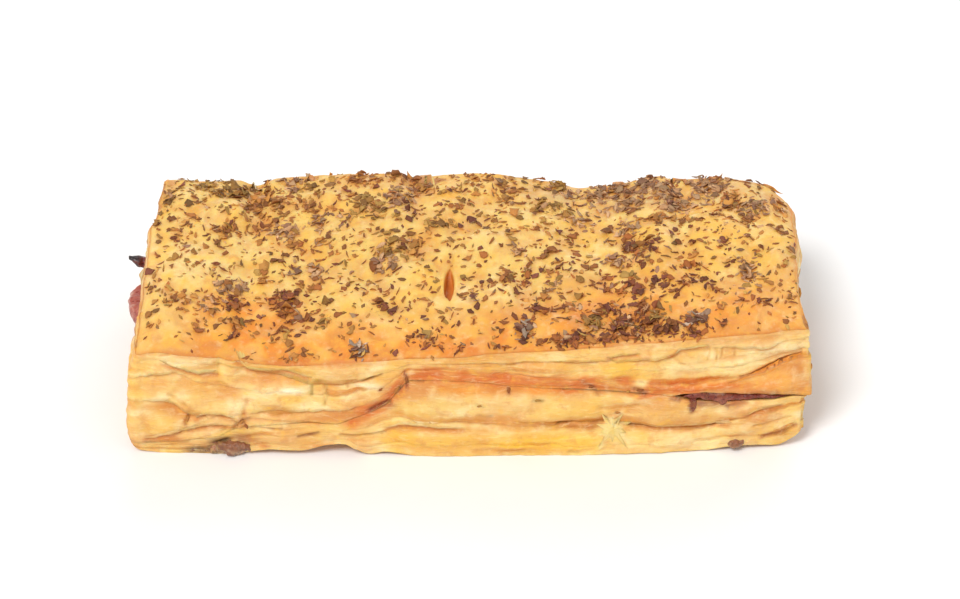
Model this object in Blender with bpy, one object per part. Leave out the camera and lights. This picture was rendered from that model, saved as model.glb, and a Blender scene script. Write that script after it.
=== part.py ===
"""Pizza puff pastry: a baked slab of two puff pastry sheets with a filling between them.

Lengths in the tables are millimetres.  x runs along the front, y from the front to the
back and z up from the surface the pastry lies on.
"""

import math
import random

import bmesh
import bpy
from mathutils import Matrix, Vector, noise
from mathutils.bvhtree import BVHTree

MM = 0.001
MIDDLE_X = -2.4
MIDDLE_Y = -0.5
GAP = 0.3

# Plan of the slab: edge positions through which smooth curves are drawn.
FRONT_Y = [(-92, -39.8), (-80, -40.5), (-45, -41.4), (0, -42.0), (45, -41.2), (80, -38.8),
           (92, -37.2)]
BACK_Y = [(-92, 41.2), (-60, 41.6), (0, 41.6), (30, 41.2), (60, 39.8), (82, 37.0),
          (92, 34.6)]
LEFT_X = [(-42, -90.2), (-30, -89.7), (0, -89.6), (12, -90.0), (24, -88.2), (42, -88.0)]
RIGHT_X = [(-42, 91.4), (-38, 91.0), (-33, 89.9), (-24, 89.3), (-10, 89.5), (12, 90.4),
           (32, 90.2), (42, 88.6)]
CORNERS = {"front_left": 1.8, "front_right": 1.8, "back_left": 2.2, "back_right": 5.0}

# Height of the top crust along its front and back rims.
FRONT_RIM = [(-92, 33.2), (-82, 34.6), (-72, 33.6), (-60, 31.7), (-48, 31.0), (-35, 31.9),
             (-16, 33.3), (-5, 33.6), (4, 35.1), (24, 36.0), (45, 37.8), (67, 39.2),
             (92, 39.9)]
BACK_RIM = [(-92, 37.0), (-76, 36.3), (-66, 36.1), (-61, 34.6), (-55, 36.6), (-38, 38.2),
            (-21, 38.4), (-15, 36.8), (-8, 38.2), (2, 38.8), (14, 37.0), (25, 35.5),
            (31, 33.8), (42, 35.2), (53, 38.2), (59, 37.0), (65, 38.2), (76, 38.8),
            (83, 38.0), (92, 34.8)]
CROWN = 2.6
END_DROP = 0.6
END_FALL = 4.0

# Soft bubbles in the crust: size across and rise, fading out towards the rims.
BUBBLES = [(21.0, 1.5), (9.0, 0.8)]
BUBBLE_FADE = 14.0

# Height of the seam between the two sheets, at the front, the back and inside.
FRONT_SEAM = [(-92, 2.6), (-87, 3.2), (-73.5, 4.9), (-60, 9.4), (-46, 10.8), (-38, 10.6),
              (-31, 12.5), (-23, 17.0), (-15.5, 25.4), (-5, 25.5), (13, 23.5), (35, 21.6),
              (62, 18.9), (87, 17.4), (92, 16.8)]
BACK_SEAM = [(-92, 14.5), (-60, 16.5), (-30, 13.5), (0, 15.0), (30, 17.0), (60, 14.0),
             (92, 13.0)]
FRONT_SEAM_REACH = 6.5
BACK_SEAM_REACH = 8.0
SEAM_INSIDE = 15.0
SEAM_WAVE = 0.7
SEAM_WAVE_SIZE = 30.0
STEEPEST = 2.2
STEEP_MARGIN = 0.9
SPARE_GAP = 0.03

# Half the height of the filling's pocket, and of the slot it opens into at the front.
POCKET_HALF = 2.7
POCKET_MARGIN = 1.5
POCKET_SLOPE = 9.0
SLOT_REACH = 20.0
SLOT_HALF = [(-92, 0.0), (54, 0.0), (58, 0.85), (64, 1.5), (71, 1.4), (78, 0.95),
             (84, 0.75), (88, 0.4), (92, 0.3)]
FILLING_MIN_HALF = 0.35
FILLING_INSET = 0.9
FILLING_BULGE = 0.5
FILLING_MOST_MARGIN = 7.4
MARGIN_STEP = 0.25

# How far the underside lifts off the surface along its edges.
FRONT_LIFT = [(-92, 0.3), (-84, 0.0), (-75, 0.0), (-67, 0.0), (-60, 1.0), (-54, 2.0),
              (-46, 1.7), (-39.5, 3.5), (-34, 4.0), (-30, 1.6), (-27, 0.5), (-23, 1.3),
              (-14, 0.0), (24, 0.0), (46, 0.3), (63, 0.3), (69.6, 1.4), (75, 1.6),
              (84, 0.9), (88, 3.4), (92, 6.2)]
FRONT_LIFT_REACH = 9.0
LEFT_LIFT = 0.6
RIGHT_LIFT = 5.2
BACK_LIFT = 0.7
LIFT_REACH = 6.0

# Flake edges on the sides of the sheets: the share of a sheet's height at which each one
# runs, the depth of its step and how fast the step runs out.  A positive depth steps back
# above the edge, a negative one below it.
TOP_EDGES = [
    {
        "front": [(-92, 0.50), (-82, 0.47), (-75, 0.33), (-63, 0.22), (-50, 0.24),
                  (-20, 0.22), (40, 0.20), (59, 0.13), (67, 0.19), (74, 0.26),
                  (78, 0.31), (83, 0.42), (87, 0.50), (92, 0.56)],
        "back": [(-92, 0.30), (-50, 0.18), (-10, 0.26), (40, 0.20), (92, 0.30)],
        "depth": [(-92, -0.9), (-55, -1.3), (-30, -0.7), (40, 0.5), (62, 1.3), (92, 1.5)],
        "fall": 3.4,
    },
    {
        "front": [(-92, 0.76), (-81, 0.78), (-72, 0.69), (-62, 0.59), (-50, 0.55),
                  (-40, 0.45), (-30, 0.42), (0, 0.44), (40, 0.43), (59, 0.44),
                  (74, 0.50), (83, 0.62), (92, 0.74)],
        "back": [(-92, 0.52), (-60, 0.46), (-20, 0.55), (30, 0.44), (92, 0.55)],
        "depth": [(-92, -1.1), (-62, -1.2), (-30, 0.9), (10, 0.8), (92, -0.8)],
        "fall": 3.0,
    },
    {
        "front": [(-92, 0.92), (-62, 0.93), (-51, 0.86), (-40, 0.68), (-32, 0.65),
                  (-21, 0.73), (-10, 0.75), (13, 0.70), (24, 0.72), (35, 0.68),
                  (51, 0.71), (59, 0.80), (78, 0.79), (92, 0.88)],
        "back": [(-92, 0.80), (-50, 0.74), (-10, 0.82), (30, 0.72), (70, 0.80),
                 (92, 0.78)],
        "depth": [(-92, -0.5), (-62, -1.0), (-45, -1.5), (-20, -1.2), (20, -0.8),
                  (92, -0.9)],
        "fall": 3.6,
    },
]
BOTTOM_EDGES = [
    {
        "front": [(-92, 0.24), (-60, 0.22), (-20, 0.18), (40, 0.16), (92, 0.24)],
        "back": [(-92, 0.20), (-30, 0.28), (30, 0.18), (92, 0.26)],
        "depth": [(-92, 0.5), (-20, 0.8), (60, 0.6), (92, 0.9)],
        "fall": 2.4,
    },
    {
        "front": [(-92, 0.58), (-72, 0.55), (-60, 0.56), (-38, 0.62), (-30, 0.72),
                  (-24, 0.68), (-13.5, 0.43), (24, 0.45), (35, 0.48), (46, 0.43),
                  (62, 0.42), (70, 0.54), (81, 0.72), (92, 0.78)],
        "back": [(-92, 0.60), (-40, 0.52), (10, 0.64), (50, 0.50), (92, 0.60)],
        "depth": [(-92, 0.8), (-30, 1.0), (0, 1.3), (60, 1.1), (92, 1.0)],
        "fall": 3.2,
    },
]
EDGE_SPLIT = 0.25
MOST_SPLIT = 0.04
EDGE_WANDER = 0.05
EDGE_WAVES = 9.0
EDGE_UNEVEN = 0.5
EDGE_UNEVEN_SIZE = 14.0

# How far the faces belly out at each share of the whole height.
FRONT_BELLY = [(0.0, 0.6), (0.10, 0.9), (0.35, 0.8), (0.60, 0.2), (0.85, -0.3), (1.0, 0.0)]
BACK_BELLY = [(0.0, -0.7), (0.12, 0.0), (0.45, 0.4), (0.70, 0.3), (1.0, -0.2)]
LEFT_BELLY = [(0.0, 1.4), (0.07, 3.2), (0.20, 4.0), (0.50, 3.2), (0.75, 2.1), (0.90, 0.8),
              (1.0, 0.0)]
RIGHT_BELLY = [(0.0, -0.9), (0.2, -1.0), (0.38, -0.5), (0.44, 1.5), (0.7, 1.5), (1.0, 0.6)]
LEFT_BELLY_FADE = 0.3
LEFT_BELLY_REACH = 33.0
BELLY_REACH = 6.0
WHOLE_HEIGHT = 40.0
DENT = 0.5
DENT_SIZE = 12.0

# Grid of the sheets: distances from the ends, and from the front to the back.
X_CELLS = 44
END_STATIONS = [0.0, 1.4, 3.6, 6.8]
DEPTH_STATIONS = [0.0, 1.8, 4.4, 8.0, 13.4, 21.0, 30.8, 41.0, 51.2, 61.0, 68.6, 74.0, 77.6,
                  80.2, 82.0]
DEPTH = 82.0

VENT = {"x": -5.6, "y": -14.4, "length": 15.0, "width": 1.8, "depth": 4.2, "clear": 4.0,
        "bare_x": 4.5, "bare_y": 11.0}

# The slice of ham and the strip of pepper that stick out between the sheets at the left.
HAM = {"x": -84.8, "y": 8.2, "z": 15.0, "radius": 12.2, "height": 4.0, "cut_x": -85.8,
       "droop": 0.09, "blunt": 0.9, "wave": 0.4}
PEPPER = {"x": -85.6, "y": 25.6, "z": 15.2, "length": 11.9, "radius": 2.2, "tip": 0.25,
          "flat": 0.85, "rise": 3.1}

# Filling baked dark where it ran out under the front edge: x, y offset, z, half axes.
LEAKS = {
    "sauce_leak_left": (-64.4, 0.3, 2.3, 6.4, 2.3, 2.6),
    "sauce_leak_right": (72.4, 0.3, 2.9, 3.0, 1.9, 1.5),
}
LEAK_SWELL = 0.12
LEAK_FOOT = 0.15

# Dried herbs: middle, half axes and weight of each patch where they lie thickly.
HERB_PATCHES = [
    (-73.6, 35.0, 13.5, 5.0, 0.8), (-53.7, 24.7, 13.6, 13.0, 1.0),
    (-20.0, 29.7, 10.7, 10.0, 1.0), (-18.1, 6.0, 6.0, 8.0, 0.9),
    (18.3, 28.2, 11.0, 11.0, 1.0), (48.0, 28.5, 23.0, 9.5, 1.6),
    (75.9, 22.0, 13.0, 9.0, 1.2), (55.4, 5.1, 9.0, 9.0, 0.8),
    (45.7, -31.0, 17.0, 9.0, 1.8), (18.3, -31.0, 17.0, 9.0, 1.2),
    (-62.9, -21.0, 5.5, 14.0, 0.9), (-48.5, -27.0, 4.0, 10.0, 0.8),
    (-31.9, -36.0, 4.0, 4.0, 0.7), (-10.1, -35.0, 4.0, 5.0, 0.7),
]
HERB_BACKGROUND = 0.28
HERB_MOST_WEIGHT = 1.6
HERB_COUNT = 88
HERB_SPACING = 5.0
HERB_SEED = 41
HERB_MARGIN = 2.6
HERB_LENGTHS = (4.4, 2.6)
HERB_SLIMNESS = (0.42, 0.62)
HERB_UNEVEN = (0.8, 1.1)
HERB_THICK = 1.3
HERB_RISE = 0.05
HERB_TILT = 0.12


def srgb(red, green, blue):
    """Linear colour of an sRGB one given in 0 to 255."""
    linear = []
    for value in (red, green, blue):
        share = value / 255.0
        linear.append(share / 12.92 if share <= 0.04045 else ((share + 0.055) / 1.055) ** 2.4)
    return (linear[0], linear[1], linear[2], 1.0)


NODE_LOOKS = {
    "pastry_top": (srgb(240, 190, 105), 0.55),
    "pastry_bottom": (srgb(248, 208, 125), 0.60),
    "filling": (srgb(120, 42, 40), 0.35),
    "ham_slice": (srgb(176, 96, 80), 0.40),
    "pepper_tip": (srgb(78, 26, 24), 0.40),
    "sauce_leak_left": (srgb(112, 50, 44), 0.45),
    "sauce_leak_right": (srgb(128, 84, 72), 0.45),
}


def knot_slope(knots, index):
    """Slope of the curve at a knot, level where the knots turn."""
    if index == 0 or index == len(knots) - 1:
        return 0.0
    left, middle, right = knots[index - 1], knots[index], knots[index + 1]
    first = (middle[1] - left[1]) / (middle[0] - left[0])
    second = (right[1] - middle[1]) / (right[0] - middle[0])
    if first * second <= 0.0:
        return 0.0
    return 2.0 * first * second / (first + second)


def curve(position, knots):
    """Smooth curve through the knots, level beyond the first and the last one."""
    if position <= knots[0][0]:
        return knots[0][1]
    if position >= knots[-1][0]:
        return knots[-1][1]
    index = 0
    while position > knots[index + 1][0]:
        index += 1
    before, after = knots[index], knots[index + 1]
    span = after[0] - before[0]
    share = (position - before[0]) / span
    square, cube = share * share, share * share * share
    value = (2 * cube - 3 * square + 1) * before[1]
    value += (cube - 2 * square + share) * span * knot_slope(knots, index)
    value += (3 * square - 2 * cube) * after[1]
    value += (cube - square) * span * knot_slope(knots, index + 1)
    return value


def smooth(share):
    share = min(1.0, max(0.0, share))
    return share * share * (3.0 - 2.0 * share)


def blend(first, second, share):
    return first + (second - first) * share


def ripple(x, y, length, seed):
    return noise.noise(Vector((x / length + seed * 7.3, y / length - seed * 3.1, seed * 1.7)))


def edge_distances(x, y):
    """Distances from the front, back, left and right edges of the plan."""
    to_front = max(0.0, y - curve(x, FRONT_Y))
    to_back = max(0.0, curve(x, BACK_Y) - y)
    to_left = max(0.0, x - curve(y, LEFT_X))
    to_right = max(0.0, curve(y, RIGHT_X) - x)
    return to_front, to_back, to_left, to_right


def top_height(x, y):
    """Height of the crust: rims, a low crown between them and soft bubbles."""
    to_front, to_back, to_left, to_right = edge_distances(x, y)
    share = to_front / (to_front + to_back)
    height = blend(curve(x, FRONT_RIM), curve(x, BACK_RIM), smooth(share))
    height += CROWN * (1.0 - (2.0 * share - 1.0) ** 4) ** 1.5
    bubbles = 0.0
    for seed, (size, rise) in enumerate(BUBBLES, 1):
        bubbles += rise * ripple(x, y, size, seed)
    height += bubbles * smooth(min(to_front, to_back) / BUBBLE_FADE)
    return height - END_DROP * (math.exp(-to_left / END_FALL) + math.exp(-to_right / END_FALL))


def seam_height(x, y):
    """Height of the surface midway between the two sheets."""
    to_front, to_back, _, _ = edge_distances(x, y)
    inside = SEAM_INSIDE + SEAM_WAVE * ripple(x, y, SEAM_WAVE_SIZE, 3)
    at_back = math.exp(-((to_back / BACK_SEAM_REACH) ** 2))
    at_front = math.exp(-((to_front / FRONT_SEAM_REACH) ** 2))
    return blend(blend(inside, curve(x, BACK_SEAM), at_back), curve(x, FRONT_SEAM), at_front)


def pocket_half(x, y):
    """Half the height of the hollow between the sheets."""
    to_front, to_back, _, _ = edge_distances(x, y)
    pocket = POCKET_HALF * smooth((to_front - POCKET_MARGIN) / POCKET_SLOPE)
    pocket *= smooth((to_back - POCKET_MARGIN) / POCKET_SLOPE)
    return max(pocket, curve(x, SLOT_HALF) * (1.0 - smooth(to_front / SLOT_REACH)))


def seam_gap(x, y):
    """The upright gap that leaves GAP between two faces along the seam."""
    slope_x = seam_height(x + 0.5, y) - seam_height(x - 0.5, y)
    slope_y = seam_height(x, y + 0.5) - seam_height(x, y - 0.5)
    return GAP * min(STEEPEST, math.sqrt(1.0 + slope_x ** 2 + slope_y ** 2))


def filling_gap(x, y):
    """The upright gap over and under the filling, wider where the seam is steep."""
    gap = seam_gap(x, y)
    return gap + SPARE_GAP + STEEP_MARGIN * (gap / GAP - 1.0)


def under_lift(x, y):
    """How far the underside stands off the surface near its edges."""
    to_front, to_back, to_left, to_right = edge_distances(x, y)
    lift = curve(x, FRONT_LIFT) * (1.0 - smooth(to_front / FRONT_LIFT_REACH))
    lift = max(lift, LEFT_LIFT * (1.0 - smooth(to_left / LIFT_REACH)))
    lift = max(lift, RIGHT_LIFT * (1.0 - smooth(to_right / LIFT_REACH)))
    return max(lift, BACK_LIFT * (1.0 - smooth(to_back / LIFT_REACH)))


def top_faces(x, y):
    """Lower and upper height of the top sheet."""
    lower = seam_height(x, y) + pocket_half(x, y) + 0.5 * seam_gap(x, y)
    return lower, top_height(x, y)


def bottom_faces(x, y):
    """Lower and upper height of the bottom sheet."""
    upper = seam_height(x, y) - pocket_half(x, y) - 0.5 * seam_gap(x, y)
    return under_lift(x, y), upper


def rounded(x, y):
    """The point after the corners of the plan are rounded, and the outward direction there."""
    to_front, to_back, to_left, to_right = edge_distances(x, y)
    side_y, from_y = (-1.0, to_front) if to_front < to_back else (1.0, to_back)
    side_x, from_x = (-1.0, to_left) if to_left < to_right else (1.0, to_right)
    name = ("front" if side_y < 0 else "back") + ("_left" if side_x < 0 else "_right")
    radius = CORNERS[name]
    if from_x < radius and from_y < radius:
        across, along = radius - from_x, radius - from_y
        length = math.hypot(across, along)
        reach = max(across, along)
        x += side_x * across * (reach / length - 1.0)
        y += side_y * along * (reach / length - 1.0)
        return x, y, side_x * across / length, side_y * along / length
    if from_x < from_y:
        return x, y, side_x, 0.0
    return x, y, 0.0, side_y


def edge_share(edge, x, depth_share):
    """Where a flake edge runs, as a share of the sheet's height."""
    share = blend(curve(x, edge["front"]), curve(x, edge["back"]), smooth(depth_share))
    wander = math.sin(EDGE_WAVES * depth_share) if x < 0 else math.cos(EDGE_WAVES * depth_share)
    return share + EDGE_WANDER * math.sin(math.pi * depth_share) * wander


def edge_steps(edges, x, depth_share, height_share, height):
    """How far the flake edges set the side of a sheet back at one point."""
    step = 0.0
    for edge in edges:
        above = (height_share - edge_share(edge, x, depth_share)) * height
        depth = blend(curve(x, edge["depth"]), curve(-x, edge["depth"]), smooth(depth_share))
        depth *= 1.0 + EDGE_UNEVEN * ripple(x, DEPTH * depth_share, EDGE_UNEVEN_SIZE, 4)
        if depth > 0.0 and above > 0.0:
            step -= depth * math.exp(-above / edge["fall"])
        if depth < 0.0 and above < 0.0:
            step += depth * math.exp(above / edge["fall"])
    return step


def belly(x, y, out_x, out_y, height_share):
    """How far the side bellies out, shared between the faces by the outward direction."""
    front_or_back = curve(height_share, FRONT_BELLY if out_y < 0 else BACK_BELLY)
    if out_x < 0:
        end = curve(height_share, LEFT_BELLY)
        end *= blend(1.0, LEFT_BELLY_FADE, smooth((y + 0.5 * DEPTH) / LEFT_BELLY_REACH))
    else:
        end = curve(height_share, RIGHT_BELLY)
    dents = DENT * ripple(x + 2.0 * y, WHOLE_HEIGHT * height_share, DENT_SIZE, 5)
    return out_x ** 2 * end + out_y ** 2 * front_or_back + dents


def bellied(x, y, out_x, out_y, height_share):
    """A grid point moved with the side it is near, so that no cell folds over."""
    fade = 1.0 - smooth(min(edge_distances(x, y)) / BELLY_REACH)
    offset = belly(x, y, out_x, out_y, height_share) * fade
    return x + out_x * offset, y + out_y * offset


def station_point(index, depth_share):
    """Plan position of one grid station before the corners are rounded."""
    nominal_y = (depth_share - 0.5) * DEPTH
    left, right = curve(nominal_y, LEFT_X), curve(nominal_y, RIGHT_X)
    last = len(END_STATIONS) - 1
    if index <= last:
        x = left + END_STATIONS[index]
    elif index >= X_CELLS - last:
        x = right - END_STATIONS[X_CELLS - index]
    else:
        share = (index - last) / (X_CELLS - 2 * last)
        x = blend(left + END_STATIONS[last], right - END_STATIONS[last], share)
    return x, blend(curve(x, FRONT_Y), curve(x, BACK_Y), depth_share)


def scene_point(x, y, z):
    """The point in metres, with the origin under the middle of the pastry."""
    return Vector(((x - MIDDLE_X) * MM, (y - MIDDLE_Y) * MM, z * MM))


def new_collection(name):
    collection = bpy.data.collections.new(name)
    bpy.context.scene.collection.children.link(collection)
    return collection


def add_object(name, mesh, collection, look=None):
    """Puts a finished mesh into the scene, with its material if it is a node."""
    bmesh.ops.recalc_face_normals(mesh, faces=mesh.faces[:])
    data = bpy.data.meshes.new(name)
    mesh.to_mesh(data)
    mesh.free()
    item = bpy.data.objects.new(name, data)
    collection.objects.link(item)
    if look is not None:
        colour, roughness = look
        material = bpy.data.materials.new(name)
        material.use_nodes = True
        shader = material.node_tree.nodes["Principled BSDF"]
        shader.inputs["Base Color"].default_value = colour
        shader.inputs["Roughness"].default_value = roughness
        material.diffuse_color = colour
        data.materials.append(material)
    return item


def cut_along(mesh, axis, count):
    """Cuts a unit cube into equal cells along one axis."""
    edges = [edge for edge in mesh.edges
             if abs(edge.verts[0].co[axis] - edge.verts[1].co[axis]) > 0.5]
    bmesh.ops.subdivide_edges(mesh, edges=edges, cuts=count - 1, use_grid_fill=True)


def gridded_cube(counts):
    """Surface of a cube with the given numbers of cells, and the cell indices of its points."""
    mesh = bmesh.new()
    bmesh.ops.create_cube(mesh, size=1.0)
    for axis, count in enumerate(counts):
        if count > 1:
            cut_along(mesh, axis, count)
    stations = {}
    for vertex in mesh.verts:
        stations[vertex] = tuple(round((vertex.co[axis] + 0.5) * counts[axis])
                                 for axis in range(3))
    return mesh, stations


def sheet_mesh(faces_at, edges):
    """One pastry sheet: its faces from the form functions, its sides with flake edges."""
    rows = 2 * len(edges) + 1
    depth_cells = len(DEPTH_STATIONS) - 1
    mesh, stations = gridded_cube((X_CELLS, depth_cells, rows))
    for vertex, (across, along, row) in stations.items():
        depth_share = DEPTH_STATIONS[along] / DEPTH
        x, y, out_x, out_y = rounded(*station_point(across, depth_share))
        lower, upper = faces_at(x, y)
        height = upper - lower
        if row == 0:
            height_share = 0.0
        elif row == rows:
            height_share = 1.0
        else:
            split = min(MOST_SPLIT, EDGE_SPLIT / height)
            height_share = edge_share(edges[(row - 1) // 2], x, depth_share)
            height_share += split if row % 2 == 0 else -split
        z = blend(lower, upper, height_share)
        step = 0.0
        if across in (0, X_CELLS) or along in (0, depth_cells):
            step = edge_steps(edges, x, depth_share, height_share, height)
        x, y = bellied(x, y, out_x, out_y, z / top_height(x, y))
        vertex.co = scene_point(x + out_x * step, y + out_y * step, z)
    return mesh


def filling_margins(step):
    """Distances from the front or back edge at which the filling begins, per station."""
    margins = []
    for across in range(X_CELLS + 1):
        margin = FILLING_INSET
        while margin < FILLING_MOST_MARGIN:
            share = margin / DEPTH if step > 0 else 1.0 - margin / DEPTH
            x, y = station_point(across, share)
            half = pocket_half(x, y) + 0.5 * seam_gap(x, y) - filling_gap(x, y)
            if half > FILLING_MIN_HALF:
                break
            margin += MARGIN_STEP
        margins.append(margin)
    return [max(margins[max(0, across - 1):across + 2]) for across in range(X_CELLS + 1)]


def station_faces(across, depth_share):
    """Heights of the pocket as the sheets' grid has them, level between its stations."""
    place = depth_share * DEPTH
    index = 0
    while place > DEPTH_STATIONS[index + 1]:
        index += 1
    before, after = DEPTH_STATIONS[index], DEPTH_STATIONS[index + 1]
    share = (place - before) / (after - before)
    floor_heights = []
    roof_heights = []
    for station in (before, after):
        x, y, _, _ = rounded(*station_point(across, station / DEPTH))
        floor_heights.append(bottom_faces(x, y)[1])
        roof_heights.append(top_faces(x, y)[0])
    return blend(*floor_heights, share), blend(*roof_heights, share)


def filling_mesh():
    """The filling, a thin layer from end to end that shows in the slot at the front."""
    inner = [station for station in DEPTH_STATIONS
             if FILLING_MOST_MARGIN < station < DEPTH - FILLING_MOST_MARGIN]
    depth_cells = len(inner) + 2
    mesh, stations = gridded_cube((X_CELLS, depth_cells, 2))
    front_margins = filling_margins(1)
    back_margins = filling_margins(-1)
    for vertex, (across, along, row) in stations.items():
        if along == 0:
            place = front_margins[across]
        elif along == 1:
            place = max(DEPTH_STATIONS[2], blend(front_margins[across], inner[0], 0.5))
        elif along == depth_cells:
            place = DEPTH - back_margins[across]
        else:
            place = inner[along - 2]
        floor_height, roof_height = station_faces(across, place / DEPTH)
        x, y, out_x, out_y = rounded(*station_point(across, place / DEPTH))
        upright = filling_gap(x, y)
        low, high = floor_height + upright, roof_height - upright
        x, y = bellied(x, y, out_x, out_y, seam_height(x, y) / top_height(x, y))
        bulge = FILLING_BULGE if row == 1 else 0.0
        if along == 0:
            y -= bulge
        elif along == depth_cells:
            y += bulge
        if across == 0:
            x += FILLING_INSET - bulge
        elif across == X_CELLS:
            x -= FILLING_INSET - bulge
        vertex.co = scene_point(x, y, blend(low, high, row / 2.0))
    return mesh


def ham_mesh(grow):
    """A round slice with a blunt rim, cut off where it goes in between the sheets."""
    mesh = bmesh.new()
    bmesh.ops.create_cone(mesh, segments=32, radius1=1.0, radius2=1.0, depth=1.0,
                          cap_ends=True)
    cut_along(mesh, 2, 3)
    for vertex in mesh.verts:
        level = 2.0 * vertex.co.z
        radius = HAM["radius"] - HAM["blunt"] * level ** 2 + grow
        radius += HAM["wave"] * math.sin(5.0 * math.atan2(vertex.co.y, vertex.co.x))
        x = HAM["x"] + vertex.co.x * radius
        y = HAM["y"] + vertex.co.y * radius
        z = HAM["z"] + level * (0.5 * HAM["height"] + grow)
        z += HAM["droop"] * (x - HAM["cut_x"])
        vertex.co = scene_point(x, y, z)
    cut = scene_point(HAM["cut_x"] + grow, HAM["y"], HAM["z"])
    slice_off(mesh, cut, Vector((1.0, 0.0, 0.0)))
    return mesh


def slice_off(mesh, place, direction):
    """Cuts a mesh at a plane, drops what lies beyond it and closes the cut."""
    geometry = mesh.verts[:] + mesh.edges[:] + mesh.faces[:]
    cut = bmesh.ops.bisect_plane(mesh, geom=geometry, plane_co=place, plane_no=direction,
                                 clear_outer=True)
    loop = [item for item in cut["geom_cut"] if isinstance(item, bmesh.types.BMEdge)]
    bmesh.ops.contextual_create(mesh, geom=loop)


def pepper_mesh(grow):
    """A tapering strip with a pointed end, curling upwards outside the pastry."""
    mesh = bmesh.new()
    bmesh.ops.create_cone(mesh, segments=10, radius1=1.0, radius2=1.0, depth=1.0,
                          cap_ends=True)
    cut_along(mesh, 2, 4)
    for vertex in mesh.verts:
        along = vertex.co.z + 0.5
        radius = PEPPER["radius"] * (1.0 - along ** 2.2) + PEPPER["tip"] + grow
        x = PEPPER["x"] + grow - along * (PEPPER["length"] + 2.0 * grow)
        y = PEPPER["y"] + vertex.co.y * radius
        z = PEPPER["z"] + vertex.co.x * radius * PEPPER["flat"] + PEPPER["rise"] * along ** 2
        vertex.co = scene_point(x, y, z)
    return mesh


def leak_mesh(leak, grow):
    """A flattened drop under the front edge, its foot on the surface."""
    x, inwards, z, half_x, half_y, half_z = leak
    mesh = bmesh.new()
    bmesh.ops.create_icosphere(mesh, subdivisions=2, radius=1.0)
    middle_y = curve(x, FRONT_Y) + inwards
    for vertex in mesh.verts:
        swell = 1.0 + LEAK_SWELL * math.sin(6.0 * vertex.co.x + 3.0 * vertex.co.y)
        place_x = x + vertex.co.x * (half_x * swell + grow)
        place_y = middle_y + vertex.co.y * (half_y + grow)
        place_z = z + vertex.co.z * (half_z * swell + grow)
        vertex.co = scene_point(place_x, place_y, place_z)
    if grow == 0.0:
        slice_off(mesh, Vector((0.0, 0.0, LEAK_FOOT * MM)), Vector((0.0, 0.0, -1.0)))
    return mesh


def vent_mesh():
    """The lens-shaped slit in the crust."""
    mesh = bmesh.new()
    bmesh.ops.create_cone(mesh, segments=20, radius1=1.0, radius2=1.0, depth=1.0,
                          cap_ends=True)
    level = top_height(VENT["x"], VENT["y"])
    for vertex in mesh.verts:
        x = VENT["x"] + vertex.co.x * 0.5 * VENT["width"]
        y = VENT["y"] + vertex.co.y * 0.5 * VENT["length"]
        z = level + (VENT["clear"] if vertex.co.z > 0 else -VENT["depth"])
        vertex.co = scene_point(x, y, z)
    return mesh


def herb_weight(x, y):
    """How likely a flake is at a place, from zero to about one."""
    weight = HERB_BACKGROUND
    for middle_x, middle_y, half_x, half_y, share in HERB_PATCHES:
        far = ((x - middle_x) / half_x) ** 2 + ((y - middle_y) / half_y) ** 2
        weight += share * math.exp(-far)
    return weight / HERB_MOST_WEIGHT


def herb_places(dice):
    """Scattered places on the crust, thicker in the patches, the largest flake first."""
    places = []
    while len(places) < HERB_COUNT:
        x = dice.uniform(curve(0.0, LEFT_X), curve(0.0, RIGHT_X))
        y = dice.uniform(curve(0.0, FRONT_Y), curve(0.0, BACK_Y))
        chance = dice.random()
        if min(edge_distances(x, y)) < HERB_MARGIN:
            continue
        if abs(x - VENT["x"]) < VENT["bare_x"] and abs(y - VENT["y"]) < VENT["bare_y"]:
            continue
        if any(math.hypot(x - other[0], y - other[1]) < HERB_SPACING for other in places):
            continue
        if chance < herb_weight(x, y):
            places.append((x, y))
    return places


def herb_mesh(dice, length):
    """One dried flake: a flat six-sided chip with an uneven outline."""
    mesh = bmesh.new()
    bmesh.ops.create_cone(mesh, segments=6, radius1=1.0, radius2=0.8, depth=1.0,
                          cap_ends=True)
    width = length * dice.uniform(*HERB_SLIMNESS)
    for vertex in mesh.verts:
        vertex.co.x *= 0.5 * length * MM * dice.uniform(*HERB_UNEVEN)
        vertex.co.y *= 0.5 * width * MM * dice.uniform(*HERB_UNEVEN)
        vertex.co.z *= HERB_THICK * MM
    return mesh


def scatter_herbs(crust, collection):
    """Lays the flakes half sunk on the crust."""
    dice = random.Random(HERB_SEED)
    surface = bmesh.new()
    surface.from_mesh(crust.data)
    tree = BVHTree.FromBMesh(surface)
    places = herb_places(dice)
    for number, (x, y) in enumerate(places):
        mesh = herb_mesh(dice, blend(*HERB_LENGTHS, number / len(places)))
        above = scene_point(x, y, 2.0 * WHOLE_HEIGHT)
        hit, normal, _, _ = tree.ray_cast(above, Vector((0.0, 0.0, -1.0)))
        turn = normal.to_track_quat("Z", "X").to_matrix().to_4x4()
        spin = Matrix.Rotation(dice.uniform(0.0, math.tau), 4, "Z")
        tilt = Matrix.Rotation(dice.uniform(-HERB_TILT, HERB_TILT), 4, "X")
        place = Matrix.Translation(hit + normal * HERB_RISE * MM)
        bmesh.ops.transform(mesh, matrix=place @ turn @ spin @ tilt, verts=mesh.verts[:])
        add_object("herb_flake_%03d" % number, mesh, collection)
    surface.free()


def apply_boolean(item, operation, operand):
    """Adds one Boolean modifier and turns its result into the object's mesh."""
    modifier = item.modifiers.new(operation.lower(), "BOOLEAN")
    modifier.operation = operation
    modifier.solver = "EXACT"
    if isinstance(operand, bpy.types.Collection):
        modifier.operand_type = "COLLECTION"
        modifier.collection = operand
    else:
        modifier.object = operand
    graph = bpy.context.evaluated_depsgraph_get()
    finished = bpy.data.meshes.new_from_object(item.evaluated_get(graph))
    item.modifiers.clear()
    replaced = item.data
    item.data = finished
    bpy.data.meshes.remove(replaced)


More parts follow.
